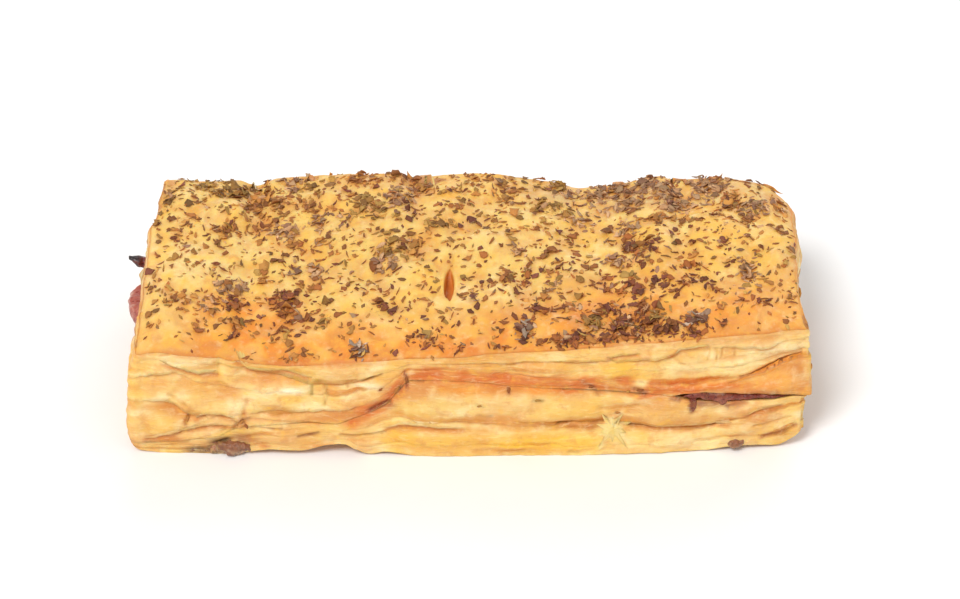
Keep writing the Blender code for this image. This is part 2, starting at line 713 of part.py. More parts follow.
def keep_main_shell(item):
    """Drops the loose scraps and sealed hollows that a Boolean can leave."""
    mesh = bmesh.new()
    mesh.from_mesh(item.data)
    bmesh.ops.remove_doubles(mesh, verts=mesh.verts[:], dist=0.000001)
    bmesh.ops.triangulate(mesh, faces=mesh.faces[:])
    unseen = set(mesh.faces)
    shells = []
    while unseen:
        queue = [unseen.pop()]
        shell = []
        while queue:
            face = queue.pop()
            shell.append(face)
            for edge in face.edges:
                for neighbour in edge.link_faces:
                    if neighbour in unseen:
                        unseen.remove(neighbour)
                        queue.append(neighbour)
        shells.append(shell)
    shells.sort(key=len)
    for shell in shells[:-1]:
        bmesh.ops.delete(mesh, geom=shell, context="FACES")
    loose = [vertex for vertex in mesh.verts if not vertex.link_faces]
    bmesh.ops.delete(mesh, geom=loose, context="VERTS")
    mesh.to_mesh(item.data)
    mesh.free()


def flatten_underside(item):
    """Joins the level faces of the underside into one flat face."""
    mesh = bmesh.new()
    mesh.from_mesh(item.data)
    level = [face for face in mesh.faces
             if all(abs(vertex.co.z) < 0.000001 for vertex in face.verts)]
    rim = set()
    for face in level:
        rim.update(face.verts)
        rim.update(face.edges)
    bmesh.ops.dissolve_limit(mesh, angle_limit=0.001,
                             verts=[part for part in rim if isinstance(part, bmesh.types.BMVert)],
                             edges=[part for part in rim if isinstance(part, bmesh.types.BMEdge)])
    bmesh.ops.triangulate(mesh, faces=mesh.faces[:])
    mesh.to_mesh(item.data)
    mesh.free()


def remove_collection(collection):
    for item in list(collection.objects):
        bpy.data.objects.remove(item, do_unlink=True)
    bpy.data.collections.remove(collection)


def build():
    for item in list(bpy.data.objects):
        bpy.data.objects.remove(item, do_unlink=True)
    part = new_collection("pizza_puff_pastry")
    cutters = new_collection("cutters")
    cutters.hide_render = True

    meshes = {
        "pastry_top": sheet_mesh(top_faces, TOP_EDGES),
        "pastry_bottom": sheet_mesh(bottom_faces, BOTTOM_EDGES),
        "filling": filling_mesh(),
        "ham_slice": ham_mesh(0.0),
        "pepper_tip": pepper_mesh(0.0),
    }
    for name, leak in LEAKS.items():
        meshes[name] = leak_mesh(leak, 0.0)
    nodes = {}
    for name, mesh in meshes.items():
        nodes[name] = add_object(name, mesh, part, NODE_LOOKS[name])

    cuts = [
        ("pastry_top", vent_mesh()),
        ("filling", ham_mesh(GAP)),
        ("filling", pepper_mesh(GAP)),
    ]
    for leak in LEAKS.values():
        cuts.append(("pastry_bottom", leak_mesh(leak, GAP)))
    for number, (name, mesh) in enumerate(cuts):
        cutter = add_object("cutter_%d" % number, mesh, cutters)
        cutter.display_type = "WIRE"
        apply_boolean(nodes[name], "DIFFERENCE", cutter)

    herbs = new_collection("herb_flakes")
    scatter_herbs(nodes["pastry_top"], herbs)
    apply_boolean(nodes["pastry_top"], "UNION", herbs)
    remove_collection(herbs)
    for item in nodes.values():
        keep_main_shell(item)
    flatten_underside(nodes["pastry_bottom"])


build()
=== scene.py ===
"""Looks of the pizza puff pastry: crust, flaky sides, filling, ham and dried herbs.

Lengths are millimetres, in the part's own terms: x runs along the front, y from the front
to the back and z up from the surface that the pastry lies on.
"""

import math
import random

import bpy
import numpy as np
from mathutils import Matrix, Vector, noise
from mathutils.bvhtree import BVHTree


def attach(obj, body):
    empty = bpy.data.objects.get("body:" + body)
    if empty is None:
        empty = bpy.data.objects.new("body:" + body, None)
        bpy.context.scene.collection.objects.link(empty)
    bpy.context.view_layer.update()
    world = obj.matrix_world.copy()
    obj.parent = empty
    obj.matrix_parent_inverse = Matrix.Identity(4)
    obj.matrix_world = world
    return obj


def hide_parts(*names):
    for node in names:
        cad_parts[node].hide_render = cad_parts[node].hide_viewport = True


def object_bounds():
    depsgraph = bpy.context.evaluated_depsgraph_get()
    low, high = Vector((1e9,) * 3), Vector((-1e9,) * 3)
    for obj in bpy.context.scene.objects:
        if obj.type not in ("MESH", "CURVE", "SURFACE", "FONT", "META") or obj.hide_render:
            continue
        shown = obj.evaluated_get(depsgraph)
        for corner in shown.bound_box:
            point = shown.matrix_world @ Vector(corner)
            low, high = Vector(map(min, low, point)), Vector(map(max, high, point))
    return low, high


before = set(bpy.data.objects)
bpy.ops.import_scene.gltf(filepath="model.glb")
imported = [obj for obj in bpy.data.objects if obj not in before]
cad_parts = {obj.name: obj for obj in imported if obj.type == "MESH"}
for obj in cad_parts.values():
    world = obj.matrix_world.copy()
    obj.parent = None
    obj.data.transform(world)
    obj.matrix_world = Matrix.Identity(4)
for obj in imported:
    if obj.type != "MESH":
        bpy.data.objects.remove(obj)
CAD_LOW, CAD_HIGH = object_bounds()

# The part's own middle, which lies at the scene's origin.
MIDDLE = np.array([-2.4, -0.5, 0.0])
MM = 0.001
LOWEST = 0.02
# Procedural noise: how far apart the part's waves are, and the grain's cells, shift and gain.
RIPPLES_APART = (7.3, 3.1, 1.7)
GRAIN_CELLS = 256
GRAIN_SHIFT = 31.7
GRAIN_GAIN = 1.7

# Form of the slab. Only the vent differs from the part's: it is wider and rounder.
FRONT_Y = [(-92, -39.8), (-80, -40.5), (-45, -41.4), (0, -42.0), (45, -41.2), (80, -38.8),
           (92, -37.2)]
BACK_Y = [(-92, 41.2), (-60, 41.6), (0, 41.6), (30, 41.2), (60, 39.8), (82, 37.0),
          (92, 34.6)]
LEFT_X = [(-42, -90.2), (-30, -89.7), (0, -89.6), (12, -90.0), (24, -88.2), (42, -88.0)]
RIGHT_X = [(-42, 91.4), (-38, 91.0), (-33, 89.9), (-24, 89.3), (-10, 89.5), (12, 90.4),
           (32, 90.2), (42, 88.6)]
CORNERS = {"front_left": 1.8, "front_right": 1.8, "back_left": 2.2, "back_right": 5.0}
FRONT_RIM = [(-92, 33.2), (-82, 34.6), (-72, 33.6), (-60, 31.7), (-48, 31.0), (-35, 31.9),
             (-16, 33.3), (-5, 33.6), (4, 35.1), (24, 36.0), (45, 37.8), (67, 39.2),
             (92, 39.9)]
BACK_RIM = [(-92, 37.0), (-76, 36.3), (-66, 36.1), (-61, 34.6), (-55, 36.6), (-38, 38.2),
            (-21, 38.4), (-15, 36.8), (-8, 38.2), (2, 38.8), (14, 37.0), (25, 35.5),
            (31, 33.8), (42, 35.2), (53, 38.2), (59, 37.0), (65, 38.2), (76, 38.8),
            (83, 38.0), (92, 34.8)]
CROWN = 2.6
END_DROP = 0.6
END_FALL = 4.0
BUBBLES = [(21.0, 1.5), (9.0, 0.8)]
BUBBLE_FADE = 14.0
FRONT_SEAM = [(-92, 2.6), (-87, 3.2), (-73.5, 4.9), (-60, 9.4), (-46, 10.8), (-38, 10.6),
              (-31, 12.5), (-23, 17.0), (-15.5, 25.4), (-5, 25.5), (13, 23.5), (35, 21.6),
              (62, 18.9), (87, 17.4), (92, 16.8)]
BACK_SEAM = [(-92, 14.5), (-60, 16.5), (-30, 13.5), (0, 15.0), (30, 17.0), (60, 14.0),
             (92, 13.0)]
FRONT_SEAM_REACH = 6.5
BACK_SEAM_REACH = 8.0
SEAM_INSIDE = 15.0
SEAM_WAVE = 0.7
SEAM_WAVE_SIZE = 30.0
SEAM_GAP = 0.3
CLOSED_REACH = 1.0
STEEPEST = 2.2
POCKET_HALF = 2.7
POCKET_MARGIN = 1.5
POCKET_SLOPE = 9.0
SLOT_REACH = 20.0
SLOT_HALF = [(-92, 0.0), (54, 0.0), (58, 0.85), (64, 1.5), (71, 1.4), (78, 0.95),
             (84, 0.75), (88, 0.4), (92, 0.3)]
FRONT_LIFT = [(-92, 0.3), (-84, 0.0), (-75, 0.0), (-67, 0.0), (-60, 1.0), (-54, 2.0),
              (-46, 1.7), (-39.5, 3.5), (-34, 4.0), (-30, 1.6), (-27, 0.5), (-23, 1.3),
              (-14, 0.0), (24, 0.0), (46, 0.3), (63, 0.3), (69.6, 1.4), (75, 1.6),
              (84, 0.9), (88, 3.4), (92, 6.2)]
FRONT_LIFT_REACH = 9.0
LEFT_LIFT = 0.6
RIGHT_LIFT = 5.2
BACK_LIFT = 0.7
LIFT_REACH = 6.0
TOP_EDGES = [
    {
        "front": [(-92, 0.50), (-82, 0.47), (-75, 0.33), (-63, 0.22), (-50, 0.24),
                  (-20, 0.22), (40, 0.20), (59, 0.13), (67, 0.19), (74, 0.26),
                  (78, 0.31), (83, 0.42), (87, 0.50), (92, 0.56)],
        "back": [(-92, 0.30), (-50, 0.18), (-10, 0.26), (40, 0.20), (92, 0.30)],
        "depth": [(-92, -0.9), (-55, -1.3), (-30, -0.7), (40, 0.5), (62, 1.3), (92, 1.5)],
        "fall": 3.4,
    },
    {
        "front": [(-92, 0.76), (-81, 0.78), (-72, 0.69), (-62, 0.59), (-50, 0.55),
                  (-40, 0.45), (-30, 0.42), (0, 0.44), (40, 0.43), (59, 0.44),
                  (74, 0.50), (83, 0.62), (92, 0.74)],
        "back": [(-92, 0.52), (-60, 0.46), (-20, 0.55), (30, 0.44), (92, 0.55)],
        "depth": [(-92, -1.1), (-62, -1.2), (-30, 0.9), (10, 0.8), (92, -0.8)],
        "fall": 3.0,
    },
    {
        "front": [(-92, 0.92), (-62, 0.93), (-51, 0.86), (-40, 0.68), (-32, 0.65),
                  (-21, 0.73), (-10, 0.75), (13, 0.70), (24, 0.72), (35, 0.68),
                  (51, 0.71), (59, 0.80), (78, 0.79), (92, 0.88)],
        "back": [(-92, 0.80), (-50, 0.74), (-10, 0.82), (30, 0.72), (70, 0.80),
                 (92, 0.78)],
        "depth": [(-92, -0.5), (-62, -1.0), (-45, -1.5), (-20, -1.2), (20, -0.8),
                  (92, -0.9)],
        "fall": 3.6,
    },
]
BOTTOM_EDGES = [
    {
        "front": [(-92, 0.24), (-60, 0.22), (-20, 0.18), (40, 0.16), (92, 0.24)],
        "back": [(-92, 0.20), (-30, 0.28), (30, 0.18), (92, 0.26)],
        "depth": [(-92, 0.5), (-20, 0.8), (60, 0.6), (92, 0.9)],
        "fall": 2.4,
    },
    {
        "front": [(-92, 0.58), (-72, 0.55), (-60, 0.56), (-38, 0.62), (-30, 0.72),
                  (-24, 0.68), (-13.5, 0.43), (24, 0.45), (35, 0.48), (46, 0.43),
                  (62, 0.42), (70, 0.54), (81, 0.72), (92, 0.78)],
        "back": [(-92, 0.60), (-40, 0.52), (10, 0.64), (50, 0.50), (92, 0.60)],
        "depth": [(-92, 0.8), (-30, 1.0), (0, 1.3), (60, 1.1), (92, 1.0)],
        "fall": 3.2,
    },
]
EDGE_WANDER = 0.05
EDGE_WAVES = 9.0
EDGE_UNEVEN = 0.5
EDGE_UNEVEN_SIZE = 14.0
FRONT_BELLY = [(0.0, 0.6), (0.10, 0.9), (0.35, 0.8), (0.60, 0.2), (0.85, -0.3), (1.0, 0.0)]
BACK_BELLY = [(0.0, -0.7), (0.12, 0.0), (0.45, 0.4), (0.70, 0.3), (1.0, -0.2)]
LEFT_BELLY = [(0.0, 1.4), (0.07, 3.2), (0.20, 4.0), (0.50, 3.2), (0.75, 2.1), (0.90, 0.8),
              (1.0, 0.0)]
RIGHT_BELLY = [(0.0, -0.9), (0.2, -1.0), (0.38, -0.5), (0.44, 1.5), (0.7, 1.5), (1.0, 0.6)]
LEFT_BELLY_FADE = 0.3
LEFT_BELLY_REACH = 33.0
WHOLE_HEIGHT = 40.0
DENT = 0.5
DENT_SIZE = 12.0
HALF_LENGTH = 91.0
DEPTH = 82.0

# The vent: its place and size, the lips' form, and how the crust's grid is moved aside.
VENT = {"x": -5.6, "y": -14.4, "set_back": 0.8, "length": 14.4, "width": 2.7, "depth": 3.4,
        "roundness": 0.75, "blunt": 0.12, "lip": 0.35, "lip_width": 0.5, "slope": 0.6,
        "reach": 1.7, "far": 4.42, "gather": 0.35, "ends": 1.7}
VENT_WANDER = [(3.0, 0.25, 61)]
VENT_BARE = (2.6, 9.0)

# Grid of the sheets.
COLUMNS = 380
DEEP_COLUMNS = 100
TOP_BAND_ROWS = 13
BOTTOM_BAND_ROWS = 15
EDGE_SPLIT = 0.3
CAP_INSETS = [0.5, 1.4, 2.8, 4.6, 6.8, 9.4, 13.0]
PATCH_REACH = 8.0
TOP_ROUNDING = 0.45
BOTTOM_ROUNDING = 0.1
ROUNDING_REACH = 0.5
RIM_FRINGE = 1.2
FULL_HEIGHT = 15.0
LEAST_HEIGHT = 0.1
LEAST_RELIEF = 0.35
RECESS_ROWS = 5
RECESS_DEPTH = 1.3

# Flake edges: how ragged and how broken they are, how near to each other they come, how
# much the dough droops below and above them, and how much the layers' grain differs.
EDGE_RAGGED = [(5.0, 0.5, 41), (1.9, 0.3, 51)]
EDGE_BREAKS = (13.0, 61, 1.2, 0.55)
EDGE_DEEPEST = (0.15, 1.2)
EDGE_APART = 0.05
DROOP_BELOW = 0.6
DROOP_ABOVE = 0.7
BAND_APART = 3.0

# The sides: their outward directions.
SIDES = {"front": (0.0, -1.0), "back": (0.0, 1.0), "left": (-1.0, 0.0), "right": (1.0, 0.0)}

# Guessed forms of the sides that the photo doesn't show: seed, half length and count, and
# how far each of these sides is set back to stay inside the part's box.
GUESSED_FOLDS = {"back": (21, 88.0, 26), "left": (22, 40.0, 20), "right": (23, 40.0, 20)}
GUESSED_PUFFS = {"back": (24, 86.0, 44), "left": (25, 38.0, 18), "right": (26, 38.0, 18)}
SET_BACK = {"back": 1.1, "left": 0.3, "right": 0.6}
FRONT_SET_BACK = 0.45
CRUST_SET_BACK = 0.95

FOLD_RANGES = {"length": (0.25, 0.8), "height": (3.0, 36.0), "wander": (-1.1, 1.1),
               "depth": (0.4, 0.9), "fall": (1.2, 2.4)}
PUFF_RANGES = ((3.0, 34.0), (4.0, 11.0), (1.5, 4.5), (0.4, 0.9))

# Folds: the share of their length in which they fade, how far they stand out above the
# line and back below it, and how much sooner they run out below.
FOLD_FADE = 0.22
FOLD_PROUD = 0.75
FOLD_SUNK = 0.55
FOLD_SUNK_FALL = 0.6
FRONT_FOLD_RISE = 0.7

# How high and how abrupt the puffed panels are, and how deep and how wide the creases.
CRUST_PUFF = (1.5, 1.8)
SIDE_PUFF = (1.3, 1.7)
CRUST_CREASE = (1.3, 2.6)
SIDE_CREASE = (1.0, 2.4)
BANK_RISE = 0.3
RIM_CALM = 0.25
RIM_REACH = 5.0

# Hollow along the seam of the front: its height, reach, depth and stretch of x.
COVE = {"height": 0.4, "reach": 1.3, "slope": 1.2, "depth": 0.55, "start": (-30.0, 8.0),
        "end": (60.0, 10.0)}

# Lumps of the surfaces, one layer over another: size, rise and seed.
CRUST_LUMPS = [(7.0, 0.55, 11), (3.4, 0.30, 12), (1.6, 0.12, 13)]
CRUST_WOBBLE = [(4.0, 0.5, 14)]
CRUST_BLUR = [(9.0, 2.2, 71), (3.5, 1.0, 72)]
SIDE_LUMPS = [(5.0, 0.20, 34), (1.8, 0.10, 35)]
SIDE_WOBBLE = [(3.6, 0.35, 31), (1.3, 0.15, 32)]
SIDE_BLUR = [(5.0, 1.0, 81), (2.2, 0.5, 82)]
LAYER_WAVES = [(16.0, 1.5, 36), (6.0, 0.6, 37)]
LAYER_STRETCH = 0.12
LAYER_RELIEF = (1.5, 33)
LAYER_RISE = {"front": 0.16, "others": 0.30}
SAUCE_LUMPS = [(2.2, -0.5, 311), (0.9, -0.25, 312)]
SAUCE_SAG = [(2.6, 0.6, 313)]

# Extra folds on the front, upper ones first: a line of x and z, how far the dough stands
# out above it (or below it, where negative) and how fast that runs out.
FRONT_FOLDS = [
    ([(-82.3, 18.9), (-75.8, 14.1), (-69, 13.6), (-62, 13.1)], 0.9, 2.6),
    ([(-87.3, 3.1), (-80.2, 6.4), (-73.2, 10.7), (-67, 13.2)], 0.7, 2),
    ([(-86, 2), (-79.1, 3.4), (-72.1, 6.6), (-66.5, 8.4), (-59, 9.4)], 0.8, 1.8),
    ([(-59, 9.2), (-52, 8.8), (-44, 9.4)], 0.5, 1.2),
    ([(-49, 6.6), (-44, 7.2), (-40, 7.6)], 0.6, 1.2),
    ([(-80.5, 30), (-75.3, 27.6), (-72.5, 26.4), (-67.4, 26.2)], 0.8, 2.2),
    ([(-66, 24.5), (-62, 23.4), (-58, 23.6)], -0.4, 1.6),
    ([(-57, 13.2), (-53, 12.9), (-48, 13.4)], -0.7, 1.6),
    ([(-57.5, 16.8), (-52, 16.6), (-47.5, 15.4)], 0.6, 1.5),
    ([(-43.5, 25), (-36, 24.4), (-28, 25.6), (-22.5, 27.2)], 0.7, 1.6),
    ([(-3, 28.6), (13.4, 27.2), (24.2, 26), (34, 24.4)], 0.6, 1.8),
    ([(36, 32.8), (41.4, 32.6), (46, 33.4)], 0.5, 1.4),
    ([(52.5, 31.8), (55.5, 33.6), (60, 34.6), (64, 35)], 0.7, 1.6),
    ([(52, 30), (57, 31), (64, 29)], -0.4, 1.8),
    ([(63, 27.6), (70, 28.4), (80, 29.6), (88, 31.6)], 0.4, 2),
    ([(23, 10.8), (30, 10.7), (36, 10.6)], 0.3, 1.5),
    ([(-38, 7.6), (-31, 7.2), (-24, 8.2), (-18, 10), (-11, 9.8)], 0.5, 1.6),
    ([(34, 15.6), (40, 17.2), (46, 16.4)], 0.4, 1.6),
    ([(46, 8.6), (56, 8.4), (66, 8.9), (73, 10.4)], 0.7, 1.8),
    ([(73, 11.4), (77, 13), (82, 13.6), (87, 13)], 0.7, 1.8),
    ([(76, 8.8), (82, 9.4), (87, 10.4)], 0.5, 1.4),
    ([(80, 4.6), (84, 5.4), (88.5, 6.6)], 0.7, 1.2),
    ([(66, 13.2), (72, 14.6), (78, 15.8), (86, 15.6)], -0.4, 1.6),
]

# Creases of the front: a line of x and z, tone, half width, depth and strength of colour. Their dark
# tones are partly painted shade in the creases and partly the dough's own browning; the shadow entry is
# painted shadow and the stain entries are sauce stains.
FRONT_CREASES = [
    ([(-83, 32.4), (-80.5, 33.2), (-78.5, 34.2)], "ochre", 0.45, 0.3, 0.6),
    ([(-67.5, 34.5), (-67.2, 30), (-67.6, 26)], "olive", 0.35, 0.3, 0.5),
    ([(-81.4, 29.8), (-77, 28.6), (-73.5, 26.8), (-68, 26.2)], "ochre", 0.5, 0.35, 0.7),
    ([(-68, 24), (-65, 22.6)], "ochre", 0.4, 0.25, 0.5),
    ([(-62.4, 30.6), (-59.2, 28.2), (-55, 27.6), (-50, 27.8), (-45.8, 26.2), (-43.6, 25.6)], "rust", 0.6,
     0.5, 0.75),
    ([(-42.5, 24.7), (-36, 24.3), (-30, 24.8), (-26, 25.8), (-23.8, 26.8)], "moss", 0.45, 0.45, 0.75),
    ([(-42.9, 22.2), (-42.7, 20)], "moss", 0.45, 0.4, 0.8),
    ([(-39.4, 24), (-38.6, 21), (-39.2, 17)], "moss", 0.4, 0.45, 0.6),
    ([(-33.4, 24), (-32.8, 22.4)], "brown", 0.4, 0.3, 0.5),
    ([(-60, 18.4), (-60.8, 15), (-61.4, 12), (-61, 9.4)], "rust", 0.75, 0.6, 0.75),
    ([(-64.2, 9), (-62.6, 10.6), (-60, 12)], "bark", 0.6, 0.6, 0.75),
    ([(-59.6, 11.8), (-52, 11.6), (-45, 11), (-41, 10.6)], "rust", 0.45, 0.35, 0.55),
    ([(-57, 14), (-52, 13.3), (-48.4, 13.6)], "ochre", 0.5, 0.4, 0.6),
    ([(-81.2, 20.2), (-78, 18), (-75.6, 15.4), (-73, 14)], "ochre", 0.45, 0.4, 0.55),
    ([(-73.4, 12), (-71.4, 13.6), (-68, 13.5), (-65.4, 12.8), (-63.2, 11)], "moss", 0.5, 0.5, 0.8),
    ([(-76.2, 12.6), (-76.7, 10.4)], "bark", 0.5, 0.5, 0.8),
    ([(-88, 4.2), (-83, 5.8), (-79, 7.2), (-75.4, 8), (-70.8, 9.6), (-66, 9.4)], "bark", 0.5, 0.6, 0.75),
    ([(-84, 5), (-79.6, 6.6), (-76.4, 8.8)], "rust", 0.45, 0.3, 0.6),
    ([(-59.4, 9.2), (-56, 8.9), (-51, 9.1)], "bark", 0.4, 0.4, 0.6),
    ([(-46.6, 6.4), (-44, 6.9), (-41, 7.9)], "bark", 0.5, 0.5, 0.8),
    ([(-35, 7.2), (-29, 7), (-23.4, 8.2)], "moss", 0.45, 0.4, 0.6),
    ([(-22, 9.2), (-18.6, 10.2), (-12, 9.9), (-4, 9.2)], "ochre", 0.7, 0.5, 0.8),
    ([(-32, 11), (-28.4, 13.6), (-26, 15.6), (-23, 17.6), (-20.4, 20.4), (-17.6, 23.4)], "seam", 1.5,
     0.5, 0.9),
    ([(-27, 15.2), (-24.4, 16.4), (-21.8, 17.9)], "stain", 0.75, 0.4, 0.95),
    ([(-24.4, 21.8), (-23.4, 22.8)], "stain", 0.4, 0.2, 0.6),
    ([(-20, 21), (-18.4, 23)], "bark", 0.6, 0.3, 0.8),
    ([(10.4, 23), (10.6, 21.2)], "stain", 0.45, 0.3, 0.7),
    ([(-77, 0.8), (-72, 1.4), (-69, 3.4), (-66.4, 4.4)], "shadow", 1.3, 0.6, 0.85),
    ([(-60, 5.6), (-57.6, 3.6), (-55, 3)], "toast", 0.8, 0.3, 0.6),
    ([(60.4, 17), (66, 16.6), (71, 15.8), (74, 17)], "stain", 1.1, 0.3, 0.55),
    ([(70, 16.6), (73, 17.4)], "rose", 0.7, 0, 0.6),
    ([(30.5, 24), (33, 22.4), (34.4, 20.6)], "stain", 0.7, 0.4, 0.6),
    ([(44.2, 21.8), (46, 21.2), (47.6, 20.6)], "stain", 0.6, 0.3, 0.75),
    ([(24.2, 10.4), (30, 10.3), (35.6, 10.2)], "brown", 1, 0.35, 1),
    ([(12, 11.4), (18, 10.8), (24.4, 10.3)], "ochre", 0.5, 0.4, 0.7),
    ([(34.4, 16.2), (38, 15.5), (42, 16), (45.6, 17)], "ochre", 0.45, 0.35, 0.5),
    ([(39.4, 14.1), (40.8, 13.7)], "bark", 0.4, 0.2, 0.7),
    ([(17.2, 19.1), (19.4, 18.7)], "moss", 0.5, 0.2, 0.7),
    ([(1.6, 17.4), (3.4, 17.2)], "moss", 0.45, 0.15, 0.6),
    ([(2.6, 13.8), (5.8, 13.5)], "grey", 0.5, 0.15, 0.6),
    ([(43.4, 9.5), (50, 9), (60, 8.7), (68.6, 9.2)], "ochre", 0.5, 0.45, 0.8),
    ([(37.4, 32), (40, 32.9), (44.4, 32.9)], "moss", 0.45, 0.4, 0.7),
    ([(53.8, 31.8), (55.8, 34.4), (58.6, 34.6), (62.2, 35)], "rust", 0.45, 0.5, 0.7),
    ([(55, 31), (57.2, 29.4), (60, 28.4)], "ochre", 0.4, 0.3, 0.35),
    ([(63.9, 35), (64.2, 33), (63.8, 30.6)], "ochre", 0.3, 0.4, 0.55),
    ([(65.8, 34.6), (66.2, 30.4)], "ochre", 0.3, 0.35, 0.45),
    ([(67.6, 34), (67.2, 30.8)], "ochre", 0.3, 0.35, 0.45),
    ([(70.3, 34.6), (70.9, 31.6)], "ochre", 0.35, 0.3, 0.4),
    ([(73, 24.4), (77, 25), (81, 27), (85, 29.2), (91, 30.6)], "rust", 0.55, 0.5, 0.8),
    ([(54, 18.9), (56.4, 18.5)], "stain", 0.5, 0.3, 0.8),
    ([(59.8, 18), (60.2, 14.6)], "stain", 0.65, 0.4, 0.9),
    ([(66, 17.4), (68.8, 16.2), (70, 15.4)], "stain", 0.5, 0.3, 0.7),
    ([(75.2, 12.4), (78.4, 13.8), (84, 14)], "ochre", 0.5, 0.5, 0.8),
    ([(77, 8.6), (82, 9.6), (87, 10.6)], "ochre", 0.4, 0.4, 0.5),
    ([(80, 4.4), (84, 5.6), (88.4, 7.2)], "bark", 0.7, 0.8, 0.85),
    ([(36.4, 14.6), (38, 11.4), (41.8, 15)], "light", 0.6, -0.25, 0.5),
    ([(38.2, 11.8), (37, 7), (35.4, 3)], "light", 0.9, -0.3, 0.6),
    ([(38.4, 11.6), (41.4, 7), (44, 3)], "light", 0.9, -0.3, 0.6),
    ([(8, 1.8), (14.4, 1.9)], "ochre", 0.6, 0.1, 0.6),
    ([(27, 1.4), (29.8, 1.5)], "moss", 0.5, 0.1, 0.6),
    ([(-17.3, 27.8), (-17, 25), (-16.8, 22.8)], "stain", 0.4, 0.3, 0.9),
    ([(-2.6, 29.4), (13.4, 30.6), (24, 31.2), (34, 30.4)], "ochre", 0.4, 0.3, 0.4),
    ([(-10.8, 20.6), (-9.6, 22.8)], "light", 0.8, -0.2, 0.8),
]

# Panels of the front that puffed up between the creases: x, z, half sizes and rise.
FRONT_PUFFS = [
    (-75, 31, 7.5, 3.6, 0.8), (-64.5, 29, 2.6, 4.5, 0.5), (-53, 30.4, 8, 2, 0.6),
    (-34, 27.6, 9, 2.4, 0.7), (-72, 20, 7, 5.5, 0.6), (-50, 22.4, 9, 3.4, 0.9), (-27, 23.6, 5, 1.6, 0.5),
    (-84, 23, 5, 6, 0.5), (-84, 9.6, 5, 3, 0.5), (-66, 17, 5, 3.2, 0.7), (-52, 18.8, 5, 1.6, 0.4),
    (-40.8, 21, 1.6, 4, 0.4), (-34, 19, 4, 4.5, 0.6), (-72, 11, 3.5, 1.6, 0.4), (-70, 6.2, 4.5, 1.6, 0.6),
    (-52, 6.4, 5, 2, 0.5), (-33, 9.4, 6, 1.5, 0.5), (-9, 16, 8, 5, 0.8), (-10, 6, 12, 2.4, 0.8),
    (8, 18, 6, 3.4, 0.6), (12, 6, 11, 3, 0.8), (27, 16, 7, 3.6, 0.6), (22, 13, 7, 1.6, 0.4),
    (43, 18.8, 5, 1.6, 0.4), (55, 15, 6, 4.5, 0.7), (55, 5.2, 9, 2.8, 0.7), (72, 13, 5, 2.2, 0.5),
    (81, 16.4, 5, 1.6, 0.6), (79, 11.4, 4, 1.6, 0.5), (72, 7.4, 5, 1.8, 0.5), (5, 30.2, 5, 3, 0.6),
    (20, 28.6, 8, 1.8, 0.6), (39, 28.8, 4.6, 3.4, 0.8), (49, 31, 3, 3.4, 0.5), (58, 30, 4, 3.4, 0.5),
    (80, 33.8, 8, 2.6, 0.8), (70, 27.4, 7, 2.6, 0.6), (84, 22.4, 6, 4, 0.8), (-10, 29.6, 7, 1.8, 0.5),
    (15, 25, 9, 1.5, 0.5), (-3, 25.4, 8, 1.6, 0.6), (58, 22.4, 9, 1.3, 0.4), (-30, 3.4, 4, 1.6, 0.5),
    (30, 5, 6, 2.6, 0.4),
]

# Panels of crust that puffed up: x, y, half sizes and rise.
CRUST_PUFFS = [
    (-15, -11, 6.5, 8, 0.9), (-35, -17, 6, 9, 0.7), (-76, -5, 9, 9, 0.8), (-67, 21, 5, 5.5, 0.7),
    (-80, 28, 5, 5, 0.6), (6, 4, 8, 7, 0.6), (30, -6, 4.5, 8, 0.7), (66, 9, 9, 9, 0.8),
    (8, -19, 4, 4.5, 0.6), (53, 3, 5, 7, 0.6), (-24, -28.5, 5, 3.5, 0.6), (14, 20, 5, 7, 0.6),
    (84, -4, 5, 11, 0.5), (-58, -33, 9, 4, 0.5), (25, -32, 6, 4, 0.6),
]

# Creases in the crust: a line of x and y, depth and width.
CRUST_CREASES = [
    ([(-5.6, -6), (-5.2, -2), (-5.5, 3.5)], 0.5, 0.5),
    ([(-22, -8), (-19, -4), (-14, -1.6), (-10, -3), (-8.6, -8)], 0.5, 0.7),
    ([(-8.4, -9), (-8.8, -15), (-10.5, -20)], 0.35, 0.7),
    ([(-75.5, 27), (-73, 22), (-73.6, 16)], 0.5, 0.8),
    ([(-79, 10.6), (-70, 10.2), (-62, 10.4), (-55, 9.4)], 0.4, 0.7),
    ([(-54, 12), (-46, 10.2), (-37, 10)], 0.4, 0.7),
    ([(9.8, -14), (9, -19), (8.4, -26)], 0.45, 0.6),
    ([(77.4, -26), (78, -31), (77, -36.5)], 0.4, 0.5),
    ([(34, 3), (31.5, -2), (33, -8)], 0.35, 0.7),
    ([(61, 12), (60, 4), (63, -3)], 0.35, 0.8),
    ([(-31, -24), (-26, -33), (-17, -34)], 0.35, 0.8),
    ([(73, 20), (66, 18.5), (58, 16)], 0.4, 0.9),
]

# How strongly the sides show the grain of thin layers.
LAYERED = 0.8

